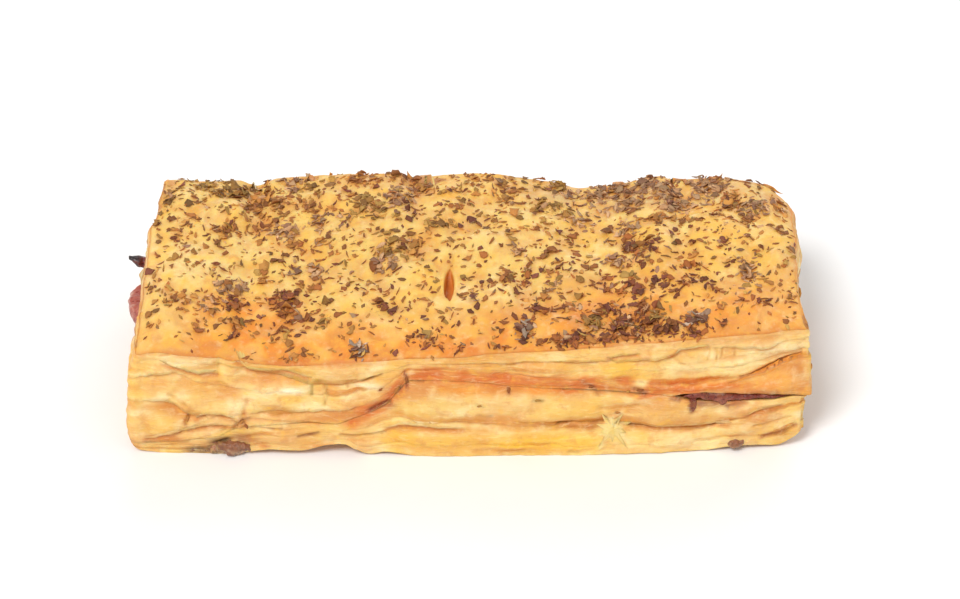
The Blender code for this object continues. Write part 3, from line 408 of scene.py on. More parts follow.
# Colours, in sRGB from 0 to 255.
TONES = {
    "crust": (236, 196, 105), "pale": (243, 212, 134), "golden": (244, 186, 68),
    "orange": (239, 137, 36), "brown": (172, 96, 34), "toast": (206, 122, 54),
    "cream": (246, 212, 142), "light": (252, 232, 176), "yellow": (242, 190, 78),
    "olive": (214, 180, 80), "tan": (226, 166, 94), "ochre": (196, 128, 46),
    "seam": (212, 104, 36), "slit": (204, 116, 34), "grey": (186, 154, 104),
    "stain": (112, 48, 36), "under": (196, 132, 64), "rust": (206, 122, 56),
    "moss": (164, 126, 58), "bark": (140, 84, 42), "rose": (226, 122, 58),
    "mauve": (205, 165, 135), "star": (255, 214, 137), "star_tip": (255, 211, 126),
    # The tone (206, 112, 36) is painted shade, laid into the recesses of the sides.
    "recess_shade": (206, 112, 36), "shadow": (116, 84, 52),
    # The near-white tone (255, 243, 206) is a painted highlight: light catching the dough.
    "peach": (216, 142, 76), "painted_highlight": (255, 243, 206), "sun": (250, 190, 44),
}
DOUGH = (242.0, 201.0, 122.0)

# The browned band over the front's seam: where it starts and ends and how fast, how high it
# lies and how wide it is, how much weaker it ends, and the same of its deeper line.
BAND = {"start": (-27.0, 8.0), "end": (62.0, 10.0), "above": 2.0, "half": 2.6, "wobble": 1.3,
        "weaker": 0.6, "deep_above": 1.2, "deep_half": 1.1}
# Painted shadow: a brown line under the leaves of the front, where they shade the dough.
LEAF_SHADE = {"below": 0.3, "reach": 0.6, "strength": 0.7}

# Patches of colour on the crust: x, y, half sizes, tone and strength.
CRUST_TONES = [
    (-57, -31, 17, 12, "orange", 0.85), (-76, -38, 12, 6, "orange", 0.5),
    (-24, -39, 24, 7, "orange", 0.75), (4, -37, 20, 10, "orange", 0.75), (32, -32, 18, 12, "orange", 0.7),
    (46, -20, 15, 12, "orange", 0.4), (66, -31, 16, 12, "orange", 0.65), (83, -27, 9, 15, "orange", 0.5),
    (84, -38, 14, 3.5, "toast", 0.6), (-48, -40, 16, 3, "toast", 0.5), (-66, -22, 12, 7, "orange", 0.4),
    (-12, -12, 6, 8, "golden", 0.55), (40, 7, 11, 9, "golden", 0.5), (70, 8, 12, 12, "golden", 0.55),
    (86, 2, 6, 15, "golden", 0.7), (-7, 27, 3.2, 4, "golden", 0.9), (7, 36, 5, 5, "golden", 0.6),
    (-38, 22, 8, 4, "golden", 0.5), (22, -33, 7, 5, "golden", 0.5), (60, -8, 16, 10, "golden", 0.4),
    (-75, -5, 11, 11, "pale", 0.6), (-68, 22, 5, 5, "pale", 0.5), (-20, -7, 7, 7, "pale", 0.6),
    (-35, -18, 6, 10, "pale", 0.55), (5, 5, 9, 8, "pale", 0.45), (31, -3, 5, 9, "pale", 0.5),
    (12, 20, 6, 8, "pale", 0.4), (-80, 28, 6, 5, "pale", 0.4), (54, 4, 7, 8, "pale", 0.4),
    # The near-white patches at (-1.4, -19.5) and (-9.4, -20.5) are painted highlights on pale lumps of
    # the crust.
    (8, -19, 4, 4, "light", 0.7), (-24, -29, 4, 2.5, "light", 0.7), (-1.4, -19.5, 2.4, 5, "painted_highlight", 0.7),
    (-9.4, -20.5, 3, 2.4, "painted_highlight", 0.55), (-86, 31, 2.5, 9, "brown", 0.6), (-57, 17, 3, 5, "toast", 0.6),
    (-72, -37, 5, 2, "toast", 0.5), (-30, 36, 6, 5, "toast", 0.5), (-17, 36, 6, 5, "toast", 0.5),
    (10, 31, 4, 8, "toast", 0.35), (88, 25, 4, 9, "tan", 0.6), (86, -20, 4, 12, "tan", 0.6),
    (-88, 5, 2, 26, "pale", 0.7), (-43, -6, 4, 2.5, "tan", 0.6), (22, 30, 8, 6, "grey", 0.4),
    (47, 26, 10, 5, "grey", 0.5), (50, 28, 14, 9, "mauve", 0.35), (72, 28, 12, 10, "mauve", 0.4),
    (40, -30, 14, 10, "orange", 0.4), (-30, -34, 12, 8, "orange", 0.35), (1, -38, 8, 6, "seam", 0.5),
    (38, -32, 12, 8, "brown", 0.3), (27, -13, 5, 5, "toast", 0.3), (-79, -28, 7, 7, "pale", 0.6),
    (-46, -38, 7, 4, "seam", 0.35), (-78, -1, 7, 7, "light", 0.35), (-86, -8, 4, 9, "light", 0.45),
]

# Patches of colour on the front: x, z, half sizes, tone and strength.
FRONT_TONES = [
    (-80, 14.8, 7, 2.2, "ochre", 0.3), (-88, 33, 4, 2.5, "tan", 0.8), (-76, 30, 9, 5, "cream", 0.6),
    (-74, 32.4, 12, 2.2, "light", 0.7), (-53, 29.4, 9, 1.6, "yellow", 0.7),
    # The near-white patches at (-48, 21.6) and (-27, 23) are painted highlights.
    (-50, 27.6, 8, 0.8, "ochre", 0.7), (-60, 21, 9, 5, "light", 0.35), (-48, 21.6, 4.5, 1.5, "painted_highlight", 1),
    (-47, 18.8, 6, 1.5, "yellow", 0.5), (-52, 15.2, 5, 1.3, "ochre", 0.75),
    (-27, 23, 5, 1.5, "painted_highlight", 0.8), (-34, 28.6, 9, 1.6, "cream", 0.5), (-40, 30.6, 16, 0.9, "toast", 0.5),
    (-42, 11.8, 14, 1.6, "toast", 0.5), (-34, 13.4, 7, 2, "toast", 0.7), (-27, 15.6, 5, 2.2, "seam", 0.9),
    (-20, 21.5, 4, 3, "toast", 0.8), (-23, 17.4, 3, 1.2, "stain", 0.8), (-12, 26.4, 6, 2.6, "seam", 0.9),
    (0, 26.2, 9, 2.2, "seam", 0.9), (14, 24.6, 10, 2.2, "seam", 0.85), (28, 23.4, 8, 2, "seam", 0.8),
    (40, 21.6, 7, 1.2, "toast", 0.8), (54, 20.8, 8, 1.2, "seam", 0.7), (66, 22.3, 9, 1.7, "orange", 0.9),
    (2, 30, 9, 4, "toast", 0.55), (16, 29, 10, 3, "tan", 0.6), (32, 28, 3, 4, "light", 0.5),
    (41, 28, 6, 4, "yellow", 0.7), (41, 25.6, 5, 1.2, "ochre", 0.4), (57, 28, 8, 4, "cream", 0.6),
    (80, 32, 11, 4, "light", 0.6), (70, 27, 10, 3, "cream", 0.6), (60, 37.4, 9, 1.4, "tan", 0.5),
    (72, 36.6, 9, 1.6, "tan", 0.6), (84, 23, 8, 5, "orange", 0.6), (89, 27, 3, 5, "toast", 0.5),
    (91, 21, 3, 6, "toast", 0.4), (-76, 8.4, 8, 2.5, "tan", 0.5), (-84, 4.5, 6, 1.6, "toast", 0.8),
    (-66, 10.8, 6, 1.5, "tan", 0.6), (-62, 10.6, 2, 1.8, "brown", 0.6),
    (-76.5, 11.2, 0.9, 1.5, "brown", 0.8), (-74, 3.4, 6, 1.6, "tan", 0.6),
    (-69, 4.2, 3, 1.6, "grey", 0.7), (-73, 0.8, 3, 0.9, "brown", 0.9), (-50, 6.4, 8, 3, "tan", 0.7),
    (-44, 7.2, 3.2, 0.7, "ochre", 0.8), (-40, 3.5, 4, 1.4, "toast", 0.5), (-30, 3.2, 5, 1.6, "tan", 0.6),
    (-16, 9.2, 6, 1.2, "ochre", 0.6), (-5, 5, 14, 3.4, "yellow", 0.8), (18, 5, 14, 3.6, "golden", 0.7),
    (18, 10.3, 8, 0.9, "ochre", 0.5), (30, 10.3, 6, 1.1, "ochre", 0.9), (12, 2, 8, 1.2, "ochre", 0.4),
    (16, 4.8, 8, 2, "sun", 0.8), (41, 29, 4, 3, "sun", 0.35), (-10, 21, 5, 3, "cream", 0.5),
    (-9, 17, 5, 5, "olive", 0.25), (2, 18, 6, 4, "cream", 0.5), (20, 17, 12, 4, "cream", 0.5),
    (14, 12, 10, 1.6, "tan", 0.5), (38.2, 9, 3.4, 4, "light", 0.8), (40, 15, 5, 1.6, "tan", 0.5),
    (52, 17, 7, 2.6, "tan", 0.6), (58, 12, 11, 3, "tan", 0.45), (56, 9.2, 13, 0.8, "ochre", 0.4),
    (57, 5, 14, 3, "cream", 0.8), (60, 2.6, 14, 2.4, "light", 0.4), (76, 14, 8, 2, "tan", 0.6),
    (80, 11, 4, 1.8, "toast", 0.4), (82, 15.6, 7, 1.2, "cream", 0.6), (84, 5.2, 4, 1, "ochre", 0.8),
    (76, 6.6, 6, 2, "tan", 0.5), (66, 18.6, 7, 2.2, "stain", 0.35), (80, 19.2, 7, 1.2, "stain", 0.4),
    (53, 5.3, 13, 3.6, "light", 0.4), (40, 3.2, 9, 2.6, "light", 0.45),
    (-61.6, 5.4, 3.6, 1.7, "stain", 0.55), (-15, 22, 5, 3, "toast", 0.5), (68, 21.6, 7, 2, "seam", 0.6),
    (20, 22.3, 9, 1.8, "orange", 0.7), (-1, 22.8, 9, 2, "orange", 0.7), (77, 11.8, 6, 3, "toast", 0.45),
    (52, 17, 7, 3, "toast", 0.25), (-36, 27.6, 5, 2.6, "tan", 0.5), (-19, 6.3, 5, 2.6, "golden", 0.9),
    (60, 28, 7, 3, "light", 0.45), (73, 27.6, 7, 3, "light", 0.35), (-10, 11.6, 5, 3, "cream", 0.6),
    (-58, 11.6, 5, 2, "tan", 0.5), (-36, 6.3, 5, 2.6, "cream", 0.6), (28, 30, 13, 5, "golden", 0.3),
    (29, 14, 12, 5, "yellow", 0.5), (29, 4.5, 11, 4, "sun", 0.5), (0, 29, 12, 4, "golden", 0.35),
    (46, 5, 8, 4, "golden", 0.35),
]

# Herbs of the part's solid, which has the largest of them: clusters with x, y, half sizes
# and weight, and how the places are drawn.
SOLID_PATCHES = [
    (-73.6, 35, 13.5, 5, 0.8), (-53.7, 24.7, 13.6, 13, 1), (-20, 29.7, 10.7, 10, 1),
    (-18.1, 6, 6, 8, 0.9), (18.3, 28.2, 11, 11, 1), (48, 28.5, 23, 9.5, 1.6), (75.9, 22, 13, 9, 1.2),
    (55.4, 5.1, 9, 9, 0.8), (45.7, -31, 17, 9, 1.8), (18.3, -31, 17, 9, 1.2), (-62.9, -21, 5.5, 14, 0.9),
    (-48.5, -27, 4, 10, 0.8), (-31.9, -36, 4, 4, 0.7), (-10.1, -35, 4, 5, 0.7),
]
SOLID_BACKGROUND = 0.28
SOLID_MOST_WEIGHT = 1.6
SOLID_COUNT = 88
SOLID_SPACING = 5.0
SOLID_SEED = 41
SOLID_MARGIN = 2.6
SOLID_LENGTHS = (4.4, 2.6)
SOLID_BARE = (4.5, 11.0)

# Where the herbs lie thickly, by kind: x, y, half sizes and weight.
HERB_CLUSTERS = {
    "olive": [
        (-85, 28, 2, 8, 0.7), (-80, 35, 4, 4, 0.4), (-72, 35, 7, 6, 0.9), (-66, 31, 5, 6, 0.9),
        (-47, 31, 8, 7, 0.5), (-28, 20, 5, 6, 1), (-8, 13, 4, 4, 0.7), (-22, 2, 4, 4, 1),
        (-39, -26, 2, 2.5, 0.9), (23, 37, 6, 4, 1.2), (20, 22, 3, 3, 1.3), (25, 20, 4, 4, 1),
        (33, -31, 3, 4, 1.5), (50, -29, 4, 4, 1.2),
    ],
    "brown": [
        (-58, 27, 7, 8, 1.1), (-58, 17, 5, 4, 0.8), (-67, 11.5, 4, 3, 1.1), (-56, 27, 11, 8, 0.6),
        (-47, 21, 5, 5, 0.8), (-78, 15, 4, 5, 0.6), (-35, 27, 3, 4, 0.8), (-30, 36, 6, 4, 0.8),
        (-18, 36, 6, 4, 0.9), (-13, 33, 3, 5, 0.8), (-44, 6, 11, 4, 0.5), (-31, 4, 3, 3, 0.8),
        (-16, 4, 3, 4, 0.8), (-57, -8, 2, 3, 0.7), (-44, -12, 4, 2.5, 0.8), (-80, -20, 4, 1.5, 1.2),
        (-64, -26.5, 4.5, 1.5, 1.1), (-27, -20, 1.5, 5, 0.6), (4, 38, 5, 4, 0.6), (10, 30, 4, 8, 0.8),
        (74, 23, 4, 6, 0.9), (79, 35, 4, 3, 0.8), (78, 12, 4, 3, 0.8), (52, 14, 4, 3, 0.8),
        (60, 12, 3, 3, 0.7), (86, 7, 3, 3, 0.7), (86, 24, 2, 8, 0.7), (48, 1, 2.5, 5, 0.9),
        (20, 1, 3, 3, 0.5), (9, -11, 2.5, 4, 0.8), (77, 2, 2, 3, 0.6), (-46, -38, 5, 3, 0.6),
    ],
    "grey": [
        (-51, 34, 5, 7, 0.7), (-51, 13, 5, 4, 1), (-42, 15, 5, 4, 0.7), (-20, 24, 4, 5, 1.2),
        (-24, -4, 3.5, 3, 1.2), (-44, -5, 4, 3, 0.9), (-65, -12, 4, 3.5, 1.4), (-70, -22, 2.5, 3.5, 0.9),
        (36, 33, 4, 7, 1.2), (43, 34, 5, 6, 1.1), (51, 32, 7, 7, 1.2), (45, 25, 7, 4, 0.8),
        (57, 24, 5, 6, 1.3), (67, 31, 5, 6, 1.3), (68, 36, 6, 3, 1.2), (79, 18, 4, 5, 1.1),
        (33, 21, 2.5, 2, 0.9), (44, 11, 3, 5, 1), (42, -4, 6, 2, 1.1), (13, 0, 3, 3, 0.8),
        (23, -14, 2.5, 3, 0.8), (76, -12, 2.5, 7, 1.2), (28, 34, 5, 5, 0.8), (31, 17, 4, 4, 0.7),
    ],
    "dark": [
        (-51, -17, 3.5, 4, 1.4), (-49, -23, 3, 4, 1.6), (-50, -29, 3, 2.5, 1), (-63.5, -20, 3, 3, 1.1),
        (-64, -32, 2.5, 2, 1), (-73, -31, 1.5, 2.5, 0.9), (-23, -23, 3, 3, 0.8), (-10, -33, 3, 4, 0.8),
        (-4, -38, 3, 2, 0.7), (-48, -40, 3, 1.2, 0.7), (44, 4, 2.5, 4, 1.3), (47, -7, 3, 2.5, 1.3),
        (16, -11, 1.5, 4, 1.1), (24.5, -8, 1, 5, 0.9), (27.5, -9, 1, 6, 0.9), (37, -14, 2, 5, 0.9),
        (61, -9.5, 3, 1.2, 1.3), (70, -1, 2, 2, 0.8), (59, -17, 4, 2.5, 1), (65, -20, 3, 1.5, 0.9),
        (44, -18, 4, 4, 1.3), (52, -19, 4, 4, 0.9), (19, -26, 3, 4, 1.2), (25, -25, 3, 2, 0.7),
        (38, -27, 4, 4, 1.2), (42, -34, 5, 4.5, 2.2), (50, -35, 6, 3.5, 1.8), (30, -38, 9, 2.5, 1.5),
        (73, -26, 2.5, 2, 1.2), (79, -26, 3, 2, 0.9), (68, -34, 1.2, 1.5, 1.5), (3, -14, 2.5, 2, 0.8),
        (8, -29, 1.5, 1.5, 0.8), (8, -39, 2.5, 1, 1), (47, -27, 4.5, 4, 1.3), (47, -2, 4, 5, 0.8),
        (34, -28, 5, 4, 0.8), (60, -37, 4, 3, 1.4), (47, -38, 6, 3, 1), (-65, -19, 5, 4, 0.6),
        (13, -10, 6, 5, 0.45), (63, -14, 5, 5, 0.5), (-13, -34, 4, 4, 0.7),
    ],
    "slate": [
        (-30, -37, 2.5, 3.5, 1.1), (15, -34, 3, 4, 1.3), (60, -33, 3.5, 3.5, 1.5), (1.6, -21, 1, 2.5, 1),
    ],
}
CLUSTER_POWER = 1.5
HERB_BACKGROUND = 0.20
# The front edge has fewer: their share there, and where and how fast that changes.
HERB_FRONT = (0.25, -37.0, 14.0)
HERB_COUNT = 3150
HERB_SEED = 7
HERB_FIELD = ((-88.5, 89.5), (-41.5, 41.5))
HERB_MARGIN = 0.7
HERB_LENGTHS = (0.9, 3.9, 1.8)
HERB_LONGER = (0.85, 0.2, 1.4)
HERB_TIDINESS = 1.3
HERB_SHADES = (0.82, 1.18)
# How flakes lie: their lean in radians, more where they crowd, and how high they sit.
LEAN = 0.26
CROWDED_LEAN = 0.22
STEEPEST_LEAN = 1.1
HERB_SINK = 0.05
LEAN_RISE = 0.132
HEAP = 0.45
STUCK_RISE = 0.15
DROPPED_FROM = 60.0
STEEPEST_LANDING = 0.5
SOLID_SHRINK = 0.85
CRUMB_COUNT = 1700
CRUMB_SEED = 9
CRUMB_MARGIN = 0.6
CRUMB_BACKGROUND = 0.02
CRUMB_GAIN = 1.6
CRUMB_LENGTHS = (0.4, 1.15, 0.7)
CRUMB_SINK = 0.06
CRUMB_SHADES = (0.9, 1.25)
CRUMB_CORNERS = ((1, 0, 0), (0, 0.5, 0), (-1, 0, 0), (0, -0.5, 0), (0, 0, 0.35), (0, 0, -0.35))
CRUMB_UNEVEN = (-0.15, 0.15)
HIGHEST = 42.4
HERB_TONES = {
    "dark": [(150, 86, 42), (126, 68, 40), (168, 100, 48), (120, 66, 50)],
    "brown": [(184, 122, 58), (162, 102, 52), (196, 138, 68), (148, 92, 50)],
    "grey": [(190, 144, 102), (170, 126, 88), (200, 158, 116), (156, 112, 84)],
    "olive": [(172, 128, 60), (154, 110, 52), (188, 146, 76), (136, 96, 52)],
    "slate": [(150, 120, 98), (130, 90, 70), (190, 164, 140), (120, 68, 48)],
}
OTHER_KINDS = 0.22
WEAKEST_CLUSTER = 0.12

# Form of a flake: how many are stems, slimness, and ranges for its curl, fold, twist, bow,
# torn edges and uneven steps. A flake that stuck to the front lies flatter by the last value.
FLAKE = {"stems": 0.14, "slim": (0.28, 0.40, 0.52, 0.70), "spread": (0.8, 1.2),
         "stem_slim": (0.10, 0.16), "curl": (-0.5, 0.7), "fold": (-0.5, 1.0),
         "twist": (-1.2, 1.2), "bow": (-0.35, 0.35), "torn": (0.45, 1.35),
         "uneven": (-0.08, 0.08), "stuck": 0.3}
FLAKE_THICK = {"stem": (0.13, 0.12), "leaf": (0.07, 0.05)}
FLAKE_STEPS = 4
HALO_CELL = 0.5
HALO_FIELD = (100.0, 50.0)
HALO_REACH = 3.0
HALO_STRENGTH = 0.5
HALO_WIDER = 0.30
HALO_LEAST = 0.35

# Flakes of herb that stuck to the front: x, z, length, slimness, turn in degrees and kind.
FRONT_HERBS = [
    (-17, 25, 5.4, 0.22, 94, "dark"), (-19.6, 21.8, 2.6, 0.5, 60, "brown"),
    (-24, 22.3, 1.4, 0.5, 40, "dark"), (10.5, 22.2, 1.9, 0.4, 85, "dark"),
    (32.6, 22.4, 1.6, 0.5, 20, "dark"), (45.8, 21.3, 2, 0.4, 15, "dark"), (40, 14, 1.4, 0.5, 5, "brown"),
    (18.3, 19, 1.8, 0.4, 4, "olive"), (2.6, 17.3, 1.5, 0.4, 8, "olive"),
    (-76.4, 11.5, 2.2, 0.5, 80, "brown"), (-62.2, 10.6, 2.6, 0.4, 35, "brown"),
    (-60.6, 9.6, 2, 0.4, 110, "dark"),
]

# Leaves of dough on the front that can be told apart: a line of x and z along the free
# edge, the leaf's width (up from that edge, or down where negative), lift and tone.
FRONT_LEAVES = [
    ([(-82.5, 29.8), (-77, 28.4), (-73.5, 26.6), (-67.6, 26.2)], 3.2, 0.21, "pale"),
    ([(-63, 30.8), (-59.2, 28.3), (-55, 27.7), (-50, 27.9), (-45.8, 26.4), (-42.6, 25.2)], 2.4, 0.27,
     "yellow"),
    ([(-74.5, 11.6), (-71.4, 13.8), (-68, 13.7), (-64, 11.8)], 1.8, 0.24, "cream"),
    ([(-88.5, 4), (-83, 6), (-79, 7.4), (-75.4, 8.2), (-70.8, 9.8), (-64, 9.6)], 1.6, 0.45, "tan"),
    ([(-23, 9.2), (-18.6, 10.5), (-12, 10.2), (-2, 9.3)], 1.8, 0.18, "cream"),
    ([(42.4, 9.6), (50, 9.2), (60, 8.9), (70, 9.5)], 1.5, 0.21, "tan"),
    ([(74, 12.2), (78.4, 13.8), (84.6, 14.2)], 1.5, 0.24, "tan"),
    ([(79, 4.6), (84, 6.2), (88.6, 7.6)], 1.4, 0.30, "toast"),
    ([(70, 23.6), (75, 24.8), (80, 26.6), (85, 29.2), (91, 30.8)], -2.2, 0.27, "orange"),
    ([(53, 31.8), (55.8, 34.5), (58.6, 34.8), (63, 35.2)], 1.5, 0.24, "pale"),
    ([(36.6, 32), (40, 33), (45.4, 33)], 1.3, 0.18, "yellow"),
]

# Guessed leaves on the other sides: count, half length for the leaves and for the rim, and
# how far out a leaf may stand on any side.
GUESSED_LEAVES = {"back": (120, 88.0, 89.0), "left": (48, 38.0, 36.0), "right": (48, 38.0, 36.0)}
SHORTEST_LEAF = 4.0
USUAL_LEAF = 9.0
LONGEST_LEAF = 0.7
LEAF_HEIGHTS = (2.5, 33.0)
LEAF_SLOPES = (-0.12, 0.12)
LEAF_BENDS = 3
LEAF_WANDER = (-0.5, 0.5)
LEAF_WIDTHS = (0.9, 3.0, 1.6)
LEAF_LIFTS = (0.2, 1.0, 0.4)
LEAF_SHADES = (0.96, 1.03)
LEAF_BROWNING = (0.2, 0.8)
# How far a leaf's underside is darkened towards rust: painted shade.
LEAF_UNDERSIDE_SHADE = 0.8
LEAF_PALLOR = (0.0, 0.6)
BROWN_PALLOR = 0.1
LEAF_LAYERED = 0.6
LEAF_LAYERS = 3.0
LEAF_TONES = ("cream", "crust", "tan", "golden", "pale", "yellow")
RIM_LEAVES = {"lengths": (12.0, 34.0), "widths": (0.9, 1.5), "lift": 0.25, "gaps": (-1.0, 5.0),
              "tones": ("orange", "toast", "toast"), "below": 1.7, "least": 6.0,
              "bends": 5, "wander": (-0.45, 0.45)}
FARTHEST = {"front": 43.1, "back": 42.1, "left": 97.0, "right": 92.45}
LEAF_SEED = 17
LEAF_ROWS = 4
LEAF_THICK = 0.1
LEAF_SPACING = 0.9
LEAF_LEAST_STEPS = 6
# How a leaf's free edge waves: its middle, rise, waves along it and where they start.
LEAF_WAVE = (0.6, 0.5, 5.0, 4.0)
LEAF_ARCH = 0.8
LEAF_RAGGED = (0.72, 1.15)
LEAF_TIP = 0.6
LEAF_NARROW = 0.35
LEAF_DROP = 0.3
LEAF_SINK = 0.5
LEAF_STAND = 0.12
SEEN_FROM = 150.0
# How far from the middle a side's surface lies at least.
NEAREST = {"front": 34.0, "back": 34.0, "left": 82.0, "right": 82.0}

# The pale star on the front: its middle, thickness and waist, how far it stands off
# there and how far its tips droop, and the tips by angle and length.
STAR = {"x": 38.6, "z": 9.2, "thick": 0.25, "waist": 2.3, "stand": 0.35, "droop": 0.25,
        "hub": -0.2, "lowest": 0.6,
        "points": [(16, 5.4), (58, 5.2), (96, 3.6), (124, 5.4), (162, 4.6), (200, 3.4),
                   (238, 7.2), (270, 4.6), (302, 8.0), (340, 4.0)]}
STAR_RINGS = (0.35, 0.7, 1.0)

# How often the fine copies of the part's solids are smoothed.
SMOOTHINGS = 4
# Rolls of sauce at the slot and at the feet of the leaks: x and radius.
SLOT_ROLL = [(57.5, 0.15), (60.0, 0.8), (64.0, 1.25), (70.0, 1.45), (75.0, 1.0), (79.0, 0.5),
             (88.0, 0.2)]
LEFT_ROLL = [(-79.0, 0.15), (-76.0, 0.7), (-72.0, 1.0), (-69.0, 1.7), (-66.0, 1.5), (-63.0, 1.0),
             (-60.5, 0.2)]
RIGHT_ROLL = [(66.0, 0.15), (69.0, 0.6), (73.0, 0.9), (77.0, 0.4), (79.0, 0.15)]
# Drips of sauce: x, lowest and highest z, and half width.
SLOT_DRIPS = [(60.1, 14.7, 18.8, 1.1), (68.6, 15.9, 18.6, 1.5)]
ROLL_SET_BACK = 0.75
ROLL_AROUND = 14
ROLL_SPACING = 0.35
ROLL_LOWEST = 0.8
ROLL_BELOW = 1.0
ROLL_ANGLES = [math.tau * step / ROLL_AROUND for step in range(ROLL_AROUND)]
DRIP_RINGS = 16
DRIP_SET_BACK = 0.25
DRIP_NECK = 0.08
DRIP_SPAN = 0.87
DRIP_BELOW = 0.6
DRIP_FLAT = 0.5
# How high a leak's foot lies above the underside, as a share of its radius.
FOOT_RISE = 0.8

# The photograph's view in metres, and the lights: direction, spread in degrees, strength.
CAMERA = {"elevation": 36.0, "distance": 0.95, "target": (0.0051, 0.0005, 0.022), "lens": 127.84,
          "clip_start": 0.01, "clip_end": 20.0}
LIGHTS = {
    "key": ((-0.33, -0.52, 0.79), 22.0, 2.15),
    "fill": ((0.8, -0.5, 0.5), 60.0, 0.25),
    "back": ((0.25, 0.85, 0.4), 60.0, 0.9),
}
SKY = 0.5
FLOOR_SIZE = 6.0
FLOOR_HEIGHT = -0.0001
FLOOR_SPOTS = (30.0, 3.0)
FLOOR_TONES = ((250, 250, 250), (246, 246, 245))
FLOOR_BUMPS = (0.0001, 0.1)
FLOOR_ROUGHNESS = 0.7


def smooth(share):
    """A share from 0 to 1 that sets off and arrives gently."""
    share = np.clip(share, 0.0, 1.0)
    return share * share * (3.0 - 2.0 * share)


def blend(first, second, share):
    """The value a share of the way from the first to the second."""
    return first + (second - first) * share


def curve(position, knots):
    """Smooth curve through the knots, level beyond the first and the last one."""
    places, values = np.array(knots, float).T
    chords = np.diff(values) / np.diff(places)
    product = chords[:-1] * chords[1:]
    total = np.where(product > 0.0, chords[:-1] + chords[1:], 1.0)
    slopes = np.zeros(len(places))
    slopes[1:-1] = np.where(product > 0.0, 2.0 * product / total, 0.0)
    place = np.clip(position, places[0], places[-1])
    index = np.clip(np.searchsorted(places, place, side="right") - 1, 0, len(places) - 2)
    span = places[index + 1] - places[index]
    share = (place - places[index]) / span
    square, cube = share * share, share * share * share
    return ((2 * cube - 3 * square + 1) * values[index]
            + (cube - 2 * square + share) * span * slopes[index]
            + (3 * square - 2 * cube) * values[index + 1]
            + (cube - square) * span * slopes[index + 1])


def ripple(x, y, length, seed):
    """The part's own waves."""
    x, y = np.broadcast_arrays(x, y)
    apart_x, apart_y, apart_z = (seed * apart for apart in RIPPLES_APART)
    waves = [noise.noise(Vector((a / length + apart_x, b / length - apart_y, apart_z)))
             for a, b in zip(x.ravel(), y.ravel())]
    return np.array(waves).reshape(x.shape)


def grain(points, size, seed):
    """Smooth noise from about -1 to 1, with lumps of one size in millimetres."""
    dice = np.random.RandomState(seed)
    order = dice.permutation(GRAIN_CELLS)
    slopes = dice.normal(size=(GRAIN_CELLS, 3))
    slopes /= np.linalg.norm(slopes, axis=1)[:, None]
    cells = np.asarray(points, float) / size + GRAIN_SHIFT
    corner = np.floor(cells).astype(int)
    offset = cells - corner
    fade = offset ** 3 * (offset * (offset * 6.0 - 15.0) + 10.0)
    total = np.zeros(cells.shape[:-1])
    for step in np.ndindex(2, 2, 2):
        index = 0
        for axis in range(3):
            index = order[(index + corner[..., axis] + step[axis]) % GRAIN_CELLS]
        weight = np.prod(np.where(np.array(step) == 1, fade, 1.0 - fade), axis=-1)
        total += weight * np.sum(slopes[index] * (offset - np.array(step)), axis=-1)
    return GRAIN_GAIN * total


def lumps(points, layers):
    """Lumps of several sizes on top of one another."""
    return sum(rise * grain(points, size, seed) for size, rise, seed in layers)


def rough(points, size, seed, octaves):
    """Noise with finer and finer lumps."""
    return lumps(points, [(size / 2.0 ** octave, 0.5 ** octave, seed + octave)
                          for octave in range(octaves)])


def patches(points, size, seed, gain, shift=0.0):
    """Soft patches of one size, from 0 to 1."""
    return smooth(gain * grain(points, size, seed) + shift)


def hill(u, v, spot, power):
    """A soft hill, 1 at the middle of a spot that starts with its middle and half sizes."""
    middle_u, middle_v, half_u, half_v = spot[:4]
    return np.exp(-(((u - middle_u) / half_u) ** 2 + ((v - middle_v) / half_v) ** 2) ** power)


def bell(gap, reach):
    """1 where there is no gap, and little beyond the reach."""
    return np.exp(-(gap / reach) ** 2)


def line_distance(u, v, line):
    """Distance of points from a bent line."""
    nearest = np.full(np.shape(u), 1e9)
    for (start_u, start_v), (end_u, end_v) in zip(line[:-1], line[1:]):
        du, dv = end_u - start_u, end_v - start_v
        share = np.clip(((u - start_u) * du + (v - start_v) * dv) / (du * du + dv * dv), 0.0, 1.0)
        nearest = np.minimum(nearest, np.hypot(u - start_u - share * du, v - start_v - share * dv))
    return nearest


def groove(gap, cut, bank):
    """Profile of a crease between low banks, by the distance in half widths."""
    return BANK_RISE * bell(gap, bank) - cut * bell(gap, 1.0)


def solid_points(x, y, z):
    """Points in space from tables of their coordinates."""
    return np.stack(np.broadcast_arrays(x, y, z), axis=-1).astype(float)


def edge_distances(x, y):
    """Distances from the front, back, left and right edges of the plan."""
    gaps = (y - curve(x, FRONT_Y), curve(x, BACK_Y) - y, x - curve(y, LEFT_X), curve(y, RIGHT_X) - x)
    return [np.maximum(0.0, gap) for gap in gaps]


def inside_edge(x, y):
    """Distance from the nearest edge of the plan."""
    return np.minimum.reduce(edge_distances(x, y))


def top_height(x, y):
    """Height of the crust: rims, a low crown between them and soft bubbles."""
    to_front, to_back, to_left, to_right = edge_distances(x, y)
    share = to_front / (to_front + to_back)
    height = blend(curve(x, FRONT_RIM), curve(x, BACK_RIM), smooth(share))
    height += CROWN * (1.0 - (2.0 * share - 1.0) ** 4) ** 1.5
    bubbles = sum(rise * ripple(x, y, size, seed) for seed, (size, rise) in enumerate(BUBBLES, 1))
    height += bubbles * smooth(np.minimum(to_front, to_back) / BUBBLE_FADE)
    return height - END_DROP * (np.exp(-to_left / END_FALL) + np.exp(-to_right / END_FALL))


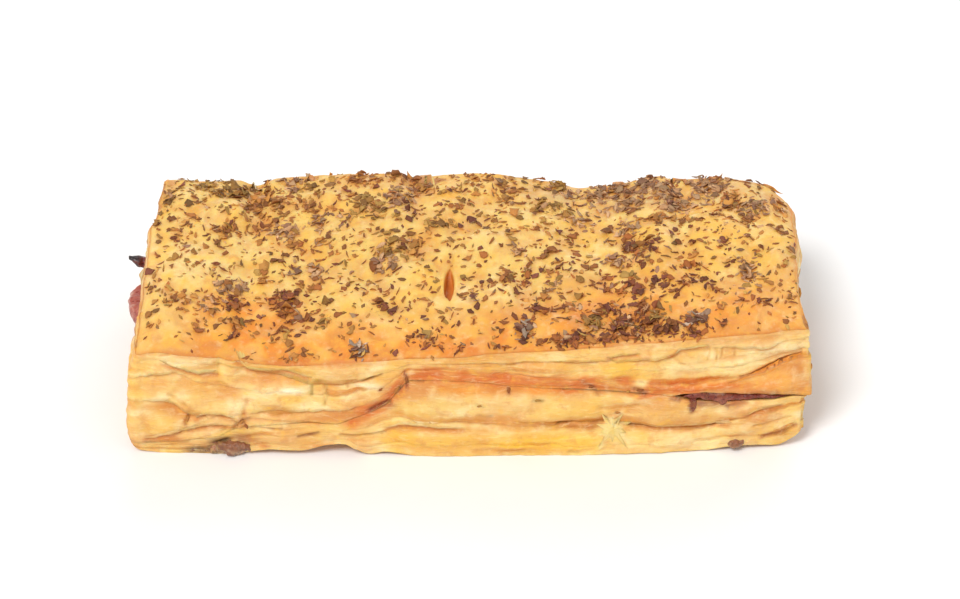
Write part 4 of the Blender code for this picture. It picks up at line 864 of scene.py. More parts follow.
def seam_height(x, y):
    """Height of the surface midway between the two sheets."""
    to_front, to_back, _, _ = edge_distances(x, y)
    inside = SEAM_INSIDE + SEAM_WAVE * ripple(x, y, SEAM_WAVE_SIZE, 3)
    height = blend(inside, curve(x, BACK_SEAM), bell(to_back, BACK_SEAM_REACH))
    return blend(height, curve(x, FRONT_SEAM), bell(to_front, FRONT_SEAM_REACH))


def half_opening(x, y):
    """Half the height between the sheets: the filling's pocket and the seam's gap."""
    to_front, to_back, _, _ = edge_distances(x, y)
    pocket = POCKET_HALF
    for gap in (to_front, to_back):
        pocket = pocket * smooth((gap - POCKET_MARGIN) / POCKET_SLOPE)
    pocket = np.maximum(pocket, curve(x, SLOT_HALF) * (1.0 - smooth(to_front / SLOT_REACH)))
    closed = np.exp(-inside_edge(x, y) / CLOSED_REACH)
    slope_x = seam_height(x + 0.5, y) - seam_height(x - 0.5, y)
    slope_y = seam_height(x, y + 0.5) - seam_height(x, y - 0.5)
    steep = np.minimum(STEEPEST, np.sqrt(1.0 + slope_x ** 2 + slope_y ** 2))
    return pocket + 0.5 * SEAM_GAP * steep * (1.0 - closed)


def under_lift(x, y):
    """How far the underside stands off the surface near its edges."""
    lifts = (curve(x, FRONT_LIFT), BACK_LIFT, LEFT_LIFT, RIGHT_LIFT)
    reaches = (FRONT_LIFT_REACH, LIFT_REACH, LIFT_REACH, LIFT_REACH)
    return np.maximum.reduce([lift * (1.0 - smooth(gap / reach)) for lift, gap, reach
                              in zip(lifts, edge_distances(x, y), reaches)])


def rounded(x, y):
    """The points after the corners are rounded, and the outward directions there."""
    to_front, to_back, to_left, to_right = edge_distances(x, y)
    at_front, at_left = to_front < to_back, to_left < to_right
    side_y, from_y = np.where(at_front, -1.0, 1.0), np.minimum(to_front, to_back)
    side_x, from_x = np.where(at_left, -1.0, 1.0), np.minimum(to_left, to_right)
    radius = np.where(at_front,
                      np.where(at_left, CORNERS["front_left"], CORNERS["front_right"]),
                      np.where(at_left, CORNERS["back_left"], CORNERS["back_right"]))
    across, along = np.maximum(radius - from_x, 0.0), np.maximum(radius - from_y, 0.0)
    corner = (across > 0.0) & (along > 0.0)
    length = np.where(corner, np.hypot(across, along), 1.0)
    shrink = np.where(corner, np.maximum(across, along) / length - 1.0, 0.0)
    out_x = np.where(corner, side_x * across / length, np.where(from_x < from_y, side_x, 0.0))
    out_y = np.where(corner, side_y * along / length, np.where(from_x < from_y, 0.0, side_y))
    return x + side_x * across * shrink, y + side_y * along * shrink, out_x, out_y


def edge_share(edge, x, depth_share):
    """Where a flake edge runs, as a share of the sheet's height."""
    share = blend(curve(x, edge["front"]), curve(x, edge["back"]), smooth(depth_share))
    wander = np.where(x < 0, np.sin(EDGE_WAVES * depth_share), np.cos(EDGE_WAVES * depth_share))
    return share + EDGE_WANDER * np.sin(math.pi * depth_share) * wander


def edge_depth(edge, x, depth_share):
    """Depth of the step at a flake edge: positive where it steps back above the edge."""
    depth = blend(curve(x, edge["depth"]), curve(-x, edge["depth"]), smooth(depth_share))
    return depth * (1.0 + EDGE_UNEVEN * ripple(x, DEPTH * depth_share, EDGE_UNEVEN_SIZE, 4))


def belly(x, y, out_x, out_y, height_share):
    """How far the side bellies out, shared between the faces by the outward direction."""
    front_or_back = np.where(out_y < 0, curve(height_share, FRONT_BELLY),
                             curve(height_share, BACK_BELLY))
    fade = blend(1.0, LEFT_BELLY_FADE, smooth((y + 0.5 * DEPTH) / LEFT_BELLY_REACH))
    end = np.where(out_x < 0, curve(height_share, LEFT_BELLY) * fade,
                   curve(height_share, RIGHT_BELLY))
    dents = DENT * ripple(x + 2.0 * y, WHOLE_HEIGHT * height_share, DENT_SIZE, 5)
    return out_x ** 2 * end + out_y ** 2 * front_or_back + dents


def depth_stations():
    """Shares of the depth for the grid, closer together near the front and the back."""
    even = np.linspace(0.0, 1.0, DEEP_COLUMNS + 1)
    return blend(even, 0.5 - 0.5 * np.cos(math.pi * even), 0.5)


def plan_point(across, depth_share):
    """Plan position of a grid point before the corners are rounded."""
    nominal_y = (depth_share - 0.5) * DEPTH
    x = blend(curve(nominal_y, LEFT_X), curve(nominal_y, RIGHT_X), across)
    return x, blend(curve(x, FRONT_Y), curve(x, BACK_Y), depth_share)


def perimeter():
    """Grid indices round the plan, from the front left corner to the right and back."""
    front = [(i, 0) for i in range(COLUMNS)]
    right = [(COLUMNS, j) for j in range(DEEP_COLUMNS)]
    back = [(i, DEEP_COLUMNS) for i in range(COLUMNS, 0, -1)]
    left = [(0, j) for j in range(DEEP_COLUMNS, 0, -1)]
    return np.array(front + right + back + left)


def crust_relief(x, y):
    """Small forms of the crust: puffed panels, creases, lumps and fine wrinkles."""
    flat = solid_points(x, y, 0.0)
    relief = lumps(flat, CRUST_LUMPS)
    for puff in CRUST_PUFFS:
        relief += CRUST_PUFF[0] * puff[-1] * hill(x, y, puff, CRUST_PUFF[1])
    relief *= blend(RIM_CALM, 1.0, smooth(inside_edge(x, y) / RIM_REACH))
    wobble = lumps(flat, CRUST_WOBBLE)
    for line, depth, width in CRUST_CREASES:
        gap = line_distance(x + wobble, y + wobble, line) / width
        relief += depth * groove(gap, *CRUST_CREASE)
    return relief - CRUST_SET_BACK


def fold_steps(u, z, folds, wobble):
    """Displacement by folds that stand out above or below their lines."""
    total = np.zeros(np.shape(u))
    for line, depth, fall in folds:
        start, end = line[0][0], line[-1][0]
        ends = FOLD_FADE * (end - start) + 1.0
        inside = smooth((u - start + 1.0) / ends) * smooth((end + 1.0 - u) / ends)
        above = (z - curve(u, line) + wobble) * (1.0 if depth > 0 else -1.0)
        turn = smooth(above + 0.5)
        proud = np.exp(-np.maximum(above, 0.0) / fall) * turn
        sunk = np.exp(np.minimum(above, 0.0) / (FOLD_SUNK_FALL * fall)) * (1.0 - turn)
        total += abs(depth) * inside * (FOLD_PROUD * proud - FOLD_SUNK * sunk)
    return total


def guessed_folds(seed, half_length, count):
    """Folds for a side that nobody has a picture of, from the bottom to the top."""
    dice = random.Random(seed)
    folds = []
    for number in range(count):
        start = dice.uniform(-half_length, 0.7 * half_length)
        length = dice.uniform(*FOLD_RANGES["length"]) * half_length
        height = blend(*FOLD_RANGES["height"], (number + dice.random()) / count)
        line = []
        for share in (0.0, 0.25, 0.5, 0.75, 1.0):
            height += dice.uniform(*FOLD_RANGES["wander"])
            line.append((start + share * length, height))
        depth = dice.choice((1.0, 1.0, -1.0)) * dice.uniform(*FOLD_RANGES["depth"])
        folds.append((line, depth, dice.uniform(*FOLD_RANGES["fall"])))
    return folds


def guessed_puffs(seed, half_length, count):
    """Puffed panels for a side that nobody has a picture of."""
    dice = random.Random(seed)
    ranges = ((-half_length, half_length),) + PUFF_RANGES
    return [[dice.uniform(*limits) for limits in ranges] for _ in range(count)]


def puffed(u, z, puffs, wobble):
    """Displacement by the panels that puffed up."""
    rise, power = SIDE_PUFF
    total = np.zeros(np.shape(u))
    for puff in puffs:
        total = np.maximum(total, rise * puff[-1] * hill(u + wobble, z + wobble, puff, power))
    return total


def facing(out_x, out_y, side):
    """How far points face a side, from 0 to 1."""
    side_x, side_y = SIDES[side]
    return np.maximum(out_x * side_x + out_y * side_y, 0.0) ** 2


def side_relief(x, y, z, out_x, out_y, layer):
    """Fine relief of a side: folds, wrinkles and the edges of thin layers of dough."""
    space = solid_points(x, y, z)
    wobble = lumps(space, SIDE_WOBBLE)
    at_front = facing(out_x, out_y, "front")
    form = FRONT_FOLD_RISE * fold_steps(x, z, FRONT_FOLDS, wobble)
    form += puffed(x, z, FRONT_PUFFS, wobble)
    for line, _, width, depth, _ in FRONT_CREASES:
        gap = line_distance(x + wobble, z + 0.6 * wobble, line) / width
        form += depth * groove(gap, *SIDE_CREASE)
    above_seam = z - seam_height(x, y)
    cove = COVE["depth"] * np.exp(-np.abs(above_seam - COVE["height"]) / COVE["reach"])
    cove = cove * smooth(above_seam / COVE["slope"] + 0.5)
    (start, fade_in), (end, fade_out) = COVE["start"], COVE["end"]
    form -= cove * smooth((x - start) / fade_in) * smooth((end - x) / fade_out)
    relief = at_front * (form - FRONT_SET_BACK)
    for side, set_back in SET_BACK.items():
        u = x if side == "back" else y
        form = fold_steps(u, z, guessed_folds(*GUESSED_FOLDS[side]), wobble)
        form += puffed(u, z, guessed_puffs(*GUESSED_PUFFS[side]), 2.0 * wobble)
        relief += facing(out_x, out_y, side) * (form - set_back)
    strata = solid_points(x * LAYER_STRETCH, y * LAYER_STRETCH, layer)
    rise = blend(LAYER_RISE["others"], LAYER_RISE["front"], at_front)
    return relief + rise * grain(strata, *LAYER_RELIEF) + lumps(space, SIDE_LUMPS)


def edge_lines(edges, x, deep, base, height, small):
    """Where the flake edges run, as shares of the height, and how deep they are there."""
    lines, depths = [np.zeros(len(x))], []
    for number, edge in enumerate(edges):
        ragged = lumps(base, [(size, rise, seed + number) for size, rise, seed in EDGE_RAGGED])
        share = edge_share(edge, x, deep) + small * ragged / height
        lines.append(np.maximum(share, lines[-1] + EDGE_APART))
        size, seed, gain, shift = EDGE_BREAKS
        fade = blend(*EDGE_DEEPEST, patches(base, size, seed + number, gain, shift))
        depths.append(fade * edge_depth(edge, x, deep))
    return lines + [np.ones(len(x))], depths


def edge_steps(edges, lines, depths, share, height):
    """How far a side stands back above or below the flake edges."""
    total = 0.0
    for edge, line, depth in zip(edges, lines[1:], depths):
        above = (share - line) * height
        back = np.where(above * depth > 0.0, np.abs(depth), 0.0)
        total = total + back * np.exp(-np.abs(above) / edge["fall"])
    return total


def sheet_sides(edges, band_rows, faces_at, rounding):
    """Rows of points up the sides of a sheet, their layers, outward directions and plan."""
    ring = perimeter()
    deep = depth_stations()[ring[:, 1]]
    plan = plan_point(ring[:, 0] / COLUMNS, deep)
    x, y, out_x, out_y = rounded(*plan)
    lower, upper = faces_at(x, y)
    height = upper - lower
    small = np.clip(height / FULL_HEIGHT, LEAST_HEIGHT, 1.0)
    lines, depths = edge_lines(edges, x, deep, solid_points(x, y, lower), height, small)
    split = EDGE_SPLIT / height * small
    rows, layers = [], []
    for band in range(len(edges) + 1):
        first, last = band == 0, band == len(edges)
        low = lines[band] + (0.0 if first else split)
        high = lines[band + 1] - (0.0 if last else split)
        for row in range(band_rows + 1):
            share = blend(low, high, row / band_rows)
            z = blend(lower, upper, share)
            droop = 0.0
            if row == 0 and not first:
                droop = -DROOP_ABOVE * np.maximum(-depths[band - 1], 0.0)
            if row == band_rows and not last:
                droop = DROOP_BELOW * np.maximum(depths[band], 0.0)
            layer = z + BAND_APART * band + lumps(solid_points(x, y, 1.5 * z), LAYER_WAVES)
            offset = belly(x, y, out_x, out_y, z / top_height(x, y))
            offset -= edge_steps(edges, lines, depths, share, height)
            offset += side_relief(x, y, z, out_x, out_y, layer) * blend(LEAST_RELIEF, 1.0, small)
            if last:
                offset -= rounding * np.exp(-(1.0 - share) * height / ROUNDING_REACH)
            rows.append(solid_points(x + out_x * offset, y + out_y * offset, z + small * droop))
            layers.append(layer)
    rows[-1][:, 2] = upper
    return np.array(rows), np.array(layers), solid_points(out_x, out_y, 0.0), plan


def pushed(u, half):
    """Positions across the slit, with several columns gathered between its lips."""
    size, reach, far = np.abs(u), VENT["reach"], VENT["far"]
    inner = half * (size / reach) ** VENT["gather"]
    outer = half + (size - reach) / (far - reach) * (far - half)
    return np.sign(u) * np.where(size < reach, inner, np.where(size < far, outer, size))


def vent_warp(x, y):
    """Opens the crust's grid along the slit: new x, and how deep and raised each point is."""
    along = (y - VENT["y"] - VENT["set_back"]) / (0.5 * VENT["length"])
    lens = np.clip(1.0 - along ** 2, 0.0, 1.0)
    half = 0.5 * VENT["width"] * np.maximum(lens ** VENT["roundness"], VENT["blunt"])
    fade = smooth((VENT["ends"] - np.abs(along)) / VENT["slope"])
    u = x - VENT["x"] - lumps(solid_points(0.0, y, 0.0), VENT_WANDER) * fade
    moved = blend(u, pushed(u, half), fade)
    inside = smooth((VENT["reach"] - np.abs(u)) / VENT["slope"])
    depth = VENT["depth"] * np.sqrt(lens) * inside
    from_lip = (np.abs(moved) - half) / VENT["lip_width"] - 1.0
    lip = VENT["lip"] * lens * bell(from_lip, 1.0) * (1.0 - inside)
    return x + moved - u, depth, lip


def crust_grid(rim):
    """Points of the crust inside the rim, moved with the rim near it."""
    across = np.linspace(0.0, 1.0, COLUMNS + 1)
    plan = np.stack(plan_point(across[:, None], depth_stations()[None, :]), axis=-1)
    known = np.zeros(plan.shape)
    for (i, j), place in zip(perimeter(), rim):
        known[i, j] = place[:2] - plan[i, j]

    def near(gap):
        return 1.0 - smooth(np.abs(gap[..., None]) / PATCH_REACH)

    ends = [(i, near(plan[..., 0] - plan[i, :, 0])) for i in (0, -1)]
    rims = [(j, near(plan[..., 1] - plan[:, j, 1, None])) for j in (0, -1)]
    shift = sum(weight * known[i] for i, weight in ends)
    shift += sum(weight * known[:, j, None] for j, weight in rims)
    shift -= sum(end * rim_weight * known[i, j] for i, end in ends for j, rim_weight in rims)
    return plan[..., 0] + shift[..., 0], plan[..., 1] + shift[..., 1]


def ring_faces(count, first, second):
    """Quads between two closed loops of points."""
    index = np.arange(count)
    after = (index + 1) % count
    return np.stack([first + index, first + after, second + after, second + index], axis=-1).tolist()


def cap_rings(plan, height_at):
    """Loops of a cap, each drawn in further from the edge of the plan."""
    rings = []
    for inset in CAP_INSETS:
        x, y = plan[0] * (1.0 - inset / HALF_LENGTH), plan[1] * (1.0 - inset / (0.5 * DEPTH))
        rings.append(solid_points(x, y, height_at(x, y)))
    return rings


def top_faces(x, y):
    """Heights of the top sheet's underside and crust."""
    return seam_height(x, y) + half_opening(x, y), top_height(x, y) + crust_relief(x, y)


def bottom_faces(x, y):
    """Heights of the bottom sheet's underside and upper face."""
    return under_lift(x, y), seam_height(x, y) - half_opening(x, y)


def mixed(base, tone, weight):
    """A colour table moved towards a tone."""
    weight = np.clip(weight, 0.0, 1.0)[..., None]
    return base * (1.0 - weight) + np.array(tone, float) * weight


def tinted(colours, steps):
    """Mixes tones in one after another, each by its own weight."""
    for tone, weight in steps:
        colours = mixed(colours, TONES.get(tone, tone), weight)
    return colours


def plain(shape, tone):
    """A colour table of one tone."""
    return np.zeros(tuple(shape) + (3,)) + np.array(TONES.get(tone, tone), float)


def spotted(colours, u, v, spots, wobble):
    """Lays soft patches of colour over a surface."""
    for spot in spots:
        weight = spot[-1] * hill(u + wobble, v + 0.4 * wobble, spot, 1.3)
        colours = mixed(colours, TONES[spot[-2]], weight)
    return colours


def herb_weight(x, y):
    """How thickly the herbs lie at a place."""
    sparse, start, reach = HERB_FRONT
    weight = HERB_BACKGROUND * blend(sparse, 1.0, smooth((np.asarray(y) - start) / reach))
    for cluster in sum(HERB_CLUSTERS.values(), []):
        weight = np.maximum(weight, cluster[-1] * hill(x, y, cluster, CLUSTER_POWER))
    return weight


def halo_weight(x, y, places):
    """How near a place is to the herb flakes, from their own places and sizes."""
    size = [int(2.0 * half / HALO_CELL) for half in HALO_FIELD]
    centres = [(np.arange(count) + 0.5) * HALO_CELL - half for count, half in zip(size, HALO_FIELD)]
    across = int(2.0 * HALO_REACH / HALO_CELL)
    table = np.zeros(size)
    for *place, length in places:
        starts = [int((value + half - HALO_REACH) / HALO_CELL) for value, half in zip(place, HALO_FIELD)]
        near = tuple(slice(start, start + across) for start in starts)
        gap_x, gap_y = (middles[part] - value for middles, part, value in zip(centres, near, place))
        gap = gap_x[:, None] ** 2 + gap_y[None] ** 2
        table[near] += HALO_STRENGTH * np.exp(-gap / (HALO_WIDER * length + HALO_LEAST) ** 2)
    cells = [np.clip((np.asarray(value) + half) / HALO_CELL - 0.5, 0, count - 2)
             for value, half, count in zip((x, y), HALO_FIELD, size)]
    i, j = (cell.astype(int) for cell in cells)
    share_i, share_j = cells[0] - i, cells[1] - j
    return blend(blend(table[i, j], table[i + 1, j], share_i),
                 blend(table[i, j + 1], table[i + 1, j + 1], share_i), share_j)


def crust_colours(x, y, relief, depth, places):
    """Colours of the crust, with browned rims and halos round the herbs."""
    flat = solid_points(x, y, 0.0)
    to_front, to_back, to_left, to_right = edge_distances(x, y)
    rim = np.minimum(to_front, np.minimum(to_left, to_right))
    halo = halo_weight(x, y, places)
    colours = spotted(plain(np.shape(x), "crust"), x, y, CRUST_TONES, lumps(flat, CRUST_BLUR))
    return tinted(colours, [
        ("pale", 0.55 * smooth(rough(flat, 8.0, 73, 3) * 1.8)),
        ("orange", 0.18 * smooth((-12.0 - y) / 22.0)),
        ("golden", 0.50 * smooth(rough(flat, 6.0, 76, 3) * 1.8)),
        ("tan", 0.40 * smooth(rough(flat, 6.0, 79, 3) * 1.8 - 0.2)),
        ("toast", 0.28 * smooth(-2.0 * (relief + 0.85))),
        ("toast", 0.55 * bell(to_front, 1.6)),
        ("toast", 0.40 * bell(rim, 1.0)),
        ("toast", 0.30 * bell(to_back, 2.5)),
        ("peach", 0.6 * np.minimum(halo, 1.0)),
        ("brown", 0.5 * np.clip(halo - 0.5, 0.0, 1.0)),
        ("slit", smooth(depth / 1.2)),
    ])


def front_colours(base, x, z, space, patchy, recess, above_seam):
    """Colours of the front: patches from the photo, the seam's band, creases (partly painted shade),
    painted shade in the recesses and painted shadows under the leaves.
    """
    wobble = lumps(space, SIDE_BLUR)
    front = mixed(base, TONES["tan"], 0.35 * smooth(-1.8 * patchy - 0.2))
    front = spotted(front, x, z, FRONT_TONES, wobble)
    (start, fade_in), (end, fade_out) = BAND["start"], BAND["end"]
    starts = smooth((x - start) / fade_in)
    gap = above_seam - BAND["above"] + BAND["wobble"] * wobble
    band = np.exp(-(gap / BAND["half"]) ** 4) * starts
    band = band * (1.0 - BAND["weaker"] * smooth((x - end) / fade_out))
    deeper = bell(above_seam - BAND["deep_above"] + wobble, BAND["deep_half"]) * starts
    front = tinted(front, [
        # Painted shade: the recesses are darkened towards orange-brown.
        ("recess_shade", 0.55 * smooth(recess)),
        ("seam", 0.85 * band * patches(space, 6.0, 97, 1.4, 0.7)),
        ("rose", 0.35 * band * patches(space, 7.0, 91, 1.5)),
        ("rust", 0.8 * deeper * patches(space, 8.0, 98, 1.8, 0.2)),
    ])
    uneven = 0.75 + 0.6 * grain(space, 3.0, 92)
    # The creases' dark tones: partly painted shade, partly the dough's own browning and stains.
    for line, tone, width, _, strength in FRONT_CREASES:
        gap = line_distance(x + 0.5 * wobble, z + 0.3 * wobble, line)
        front = mixed(front, TONES[tone], strength * uneven * bell(gap, width))
    # Painted shadow along the free edge of each leaf of the front.
    for leaf in FRONT_LEAVES:
        gap = line_distance(x, z + LEAF_SHADE["below"], leaf[0])
        front = mixed(front, TONES["rust"], LEAF_SHADE["strength"] * bell(gap, LEAF_SHADE["reach"]))
    return front


def side_colours(x, y, z, out_x, out_y, layer, recess):
    """Colours of all the sides, with the front's own on the front."""
    space = solid_points(x, y, z)
    patchy = rough(space * np.array([0.6, 0.6, 1.0]), 5.0, 93, 3)
    strata = rough(solid_points(x * 0.1, y * 0.1, layer), 2.4, 83, 3)
    above_seam = z - seam_height(x, y)
    base = tinted(plain(np.shape(x), DOUGH), [
        ("light", 0.7 * smooth(2.0 * patchy)),
        ("yellow", 0.45 * patches(space, 9.0, 96, 2.0)),
    ])
    front = front_colours(base, x, z, space, patchy, recess, above_seam)
    other = tinted(base, [
        ("toast", 0.30 * smooth(-1.8 * patchy - 0.2)),
        # Painted shade: the recesses are darkened towards orange-brown.
        ("recess_shade", 0.6 * smooth(recess)),
        ("golden", 0.30 * smooth(0.5 + strata)),
        ("orange", 0.35 * patches(space, 11.0, 99, 1.8, -0.1)),
        ("cream", 0.30 * smooth(-1.4 * strata)),
        ("toast", 0.5 * smooth(1.5 * rough(space, 14.0, 86, 2) - 0.2)),
        ("toast", 0.6 * bell(above_seam, 3.2)),
        ("under", 0.45 * bell(z - under_lift(x, y), 1.1)),
    ])
    return tinted(blend(other, front, facing(out_x, out_y, "front")[..., None]), [
        ("tan", 0.2 * smooth(1.5 * strata)),
        ("light", 0.2 * smooth(-1.6 * strata - 0.1)),
    ])


def linear(colours):
    """Colours from 0 to 255 in sRGB as linear shares."""
    share = np.clip(np.asarray(colours, float) / 255.0, 0.0, 1.0)
    return np.where(share <= 0.04045, share / 12.92, ((share + 0.055) / 1.055) ** 2.4)


def to_scene(points):
    """Millimetres of the tables to metres of the scene, kept inside the part's box."""
    moved = (np.asarray(points, float) - MIDDLE) * MM
    return np.clip(moved, np.array(CAD_LOW), np.array(CAD_HIGH))


def add_piece(name, node, points, faces, colours, material, fields=None, replaces=False):
    """Makes a mesh piece that rides on the pastry, with its colours as an attribute."""
    mesh = bpy.data.meshes.new(name)
    mesh.from_pydata(to_scene(points).tolist(), [], faces)
    tone = mesh.color_attributes.new("tone", "FLOAT_COLOR", "POINT")
    table = np.ones((len(points), 4))
    table[:, :3] = linear(colours)
    tone.data.foreach_set("color", table.astype(np.float32).ravel())
    for key, values in (fields or {}).items():
        attribute = mesh.attributes.new(key, "FLOAT", "POINT")
        attribute.data.foreach_set("value", np.asarray(values, np.float32).ravel())
    mesh.materials.append(material)
    mesh.shade_smooth()
    piece = bpy.data.objects.new(name, mesh)
    bpy.context.scene.collection.objects.link(piece)
    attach(piece, "root")
    if replaces:
        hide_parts(node)


class Gathered:
    """Points, faces and colours of a piece that is put together bit by bit."""

    def __init__(self):
        self.points, self.faces, self.colours = [], [], []

    def add(self, points, faces, colours=()):
        """Adds a bit, whose faces count from its own first point."""
        first = len(self.points)
        self.points += [tuple(point) for point in points]
        self.faces += [tuple(first + corner for corner in face) for face in faces]
        self.colours += list(colours)

    def piece(self, name, node, material, fields=None):
        """Makes the piece out of what was gathered."""
        add_piece(name, node, np.array(self.points), self.faces, np.array(self.colours), material,
                  fields)


class Nodes:
    """Short calls for building a material's node tree."""

    def __init__(self, name):
        self.material = bpy.data.materials.new(name)
        self.material.use_nodes = True
        self.tree = self.material.node_tree
        self.shader = self.tree.nodes["Principled BSDF"]

    def put(self, socket, value):
        """Links a socket to an input, or sets the input's value."""
        if isinstance(value, bpy.types.NodeSocket):
            self.tree.links.new(value, socket)
        else:
            socket.default_value = value

    def node(self, kind, output, inputs, **settings):
        """Adds a node, fills its inputs and gives one of its outputs."""
        made = self.tree.nodes.new("ShaderNode" + kind)
        for key, value in settings.items():
            setattr(made, key, value)
        for key, value in inputs.items():
            self.put(made.inputs[key], value)
        return made.outputs[output]

    def noise(self, scale, detail, roughness=0.55, vector=None):
        """Procedural noise at the object's own places, or at a vector's."""
        inputs = {"Scale": scale, "Detail": detail, "Roughness": roughness,
                  "Vector": vector or self.place()}
        return self.node("TexNoise", "Fac", inputs)

    def place(self):
        return self.node("TexCoord", "Object", {})

    def field(self, name, output="Fac"):
        """One of the mesh's own attributes."""
        return self.node("Attribute", output, {}, attribute_name=name)

    def ramp(self, value, low, high, start=0.0, end=1.0):
        """A value from the start to the end, where a field passes from the low to the high."""
        inputs = {"Value": value, "From Min": low, "From Max": high, "To Min": start, "To Max": end}
        return self.node("MapRange", "Result", inputs, interpolation_type="SMOOTHSTEP")

    def times(self, first, second):
        return self.node("Math", "Value", {0: first, 1: second}, operation="MULTIPLY")

    def mix(self, share, first, second):
        """Mixes two colours, each a socket or a colour from 0 to 255."""
        first, second = (tuple(linear(value)) + (1.0,) if isinstance(value, tuple) else value
                         for value in (first, second))
        return self.node("Mix", 2, {"Factor": share, 6: first, 7: second}, data_type="RGBA")

    def mottled(self, steps):
        """The piece's own colours, with tones mixed in where a field passes between two values."""
        colour = self.field("tone", "Color")
        for value, low, high, strength, tone in steps:
            colour = self.mix(self.ramp(value, low, high, 0.0, strength), colour, tone)
        return colour

    def bumps(self, steps):
        """Bumps over one another: height, distance and strength."""
        inputs = {}
        for height, distance, strength in steps:
            inputs.update({"Height": height, "Distance": distance, "Strength": strength})
            inputs["Normal"] = self.node("Bump", "Normal", inputs)
        return inputs["Normal"]

    def finish(self, colour, roughness, normal, **constants):
        """Fills the shader's sockets, and gives the material."""
        inputs = {"Base Color": colour, "Roughness": roughness, "Normal": normal}
        inputs.update({key.replace("_", " "): value for key, value in constants.items()})
        for key, value in inputs.items():
            self.put(self.shader.inputs[key], value)
        return self.material


def layer_vector(nodes):
    """Coordinates that follow the layers of dough: stretched along them, fine across."""
    along = nodes.node("VectorMath", 0, {0: nodes.place(), 1: (150.0, 150.0, 0.0)}, operation="MULTIPLY")
    across = nodes.node("CombineXYZ", 0, {2: nodes.field("layer")})
    return nodes.node("VectorMath", 0, {0: along, 1: across}, operation="ADD")


def pastry_material(name):
    """Baked dough: the piece's own colours, fine mottling, pores and thin layers."""
    nodes = Nodes(name)
    side = nodes.field("side")
    mottle = nodes.noise(420.0, 5.0)
    freckle = nodes.noise(240.0, 5.0, 0.65)
    colour = nodes.mottled([
        (mottle, 0.52, 0.75, 0.45, TONES["golden"]),
        (mottle, 0.48, 0.20, 0.35, TONES["light"]),
        (nodes.noise(90.0, 3.0), 0.55, 0.75, 0.25, TONES["toast"]),
        (freckle, 0.52, 0.68, 0.4, TONES["peach"]),
    ])
    layers = nodes.noise(1.9, 4.0, 0.6, layer_vector(nodes))
    layered = nodes.times(side, side)
    thin = nodes.ramp(layers, 0.42, 0.28, 0.0, 0.45)
    colour = nodes.mix(nodes.times(thin, layered), colour, TONES["ochre"])
    pale = nodes.ramp(layers, 0.54, 0.70, 0.0, 0.4)
    colour = nodes.mix(nodes.times(pale, layered), colour, TONES["light"])
    dust = nodes.ramp(nodes.field("dust"), 0.1, 0.9, 0.05, 0.75)
    specks = nodes.times(nodes.ramp(nodes.noise(1500.0, 2.0), 0.60, 0.66), dust)
    colour = nodes.mix(specks, colour, (150, 94, 40))
    normal = nodes.bumps([
        (nodes.noise(700.0, 4.0, 0.65), 0.00022, 0.7),
        (freckle, 0.0006, 0.45),
        (nodes.times(layers, layered), 0.0006, 0.7),
    ])
    return nodes.finish(colour, nodes.ramp(mottle, 0.3, 0.7, 0.42, 0.62), normal,
                        Subsurface_Weight=0.3, Subsurface_Radius=(1.0, 0.5, 0.2),
                        Subsurface_Scale=0.0018, Specular_IOR_Level=0.42)


def herb_material():
    """Dried leaf: each flake's own colour, with veins of lighter and darker grain."""
    nodes = Nodes("herb_flakes")
    veins = nodes.noise(2600.0, 4.0, 0.6)
    colour = nodes.mottled([(veins, 0.5, 0.75, 0.4, (198, 148, 86)),
                            (veins, 0.46, 0.28, 0.5, (112, 60, 26))])
    return nodes.finish(colour, nodes.ramp(veins, 0.3, 0.7, 0.5, 0.8),
                        nodes.bumps([(veins, 0.00015, 0.8)]), Specular_IOR_Level=0.3)


def moist_material(name, dark, pale, shine):
    """Sauce, cheese and meat: mottled, uneven and glossy."""
    nodes = Nodes(name)
    fine = nodes.noise(1100.0, 5.0, 0.6)
    broad = nodes.noise(350.0, 3.0)
    colour = nodes.mottled([(fine, 0.50, 0.36, 0.6, dark), (broad, 0.56, 0.70, 0.5, pale)])
    normal = nodes.bumps([(fine, 0.0003, 0.9), (broad, 0.0005, 0.6)])
    return nodes.finish(colour, nodes.ramp(fine, 0.3, 0.7, shine, shine + 0.25), normal,
                        Subsurface_Weight=0.15, Subsurface_Radius=(1.0, 0.4, 0.25),
                        Subsurface_Scale=0.001, Specular_IOR_Level=0.5)


def row_recess(rows, outs):
    """How far each side point lies behind its neighbours above and below."""
    offset = np.sum(rows * outs[None], axis=-1)
    padded = np.pad(offset, ((RECESS_ROWS, RECESS_ROWS), (0, 0)), mode="edge")
    near = [padded[step:step + len(offset)] for step in range(2 * RECESS_ROWS + 1)]
    return ((np.maximum.reduce(near) - offset) / RECESS_DEPTH).ravel()


def sheet_mesh(rows, crust, lower, upper):
    """Points and faces of a sheet: its sides, the points inside a crust and rings of caps."""
    count = rows.shape[1]
    points = np.concatenate([rows.reshape(-1, 3), crust] + lower + upper)
    walls = [row * count for row in range(len(rows))]
    caps = [walls[-1] + count + len(crust) + ring * count for ring in range(len(lower + upper))]
    loops = caps[:len(lower)][::-1] + walls + caps[len(lower):]
    faces = []
    for first, second in zip(loops, loops[1:]):
        faces += ring_faces(count, first, second)
    faces.append(list(range(loops[0] + count - 1, loops[0] - 1, -1)))
    if upper:
        faces.append(list(range(loops[-1], loops[-1] + count)))
    return points, faces


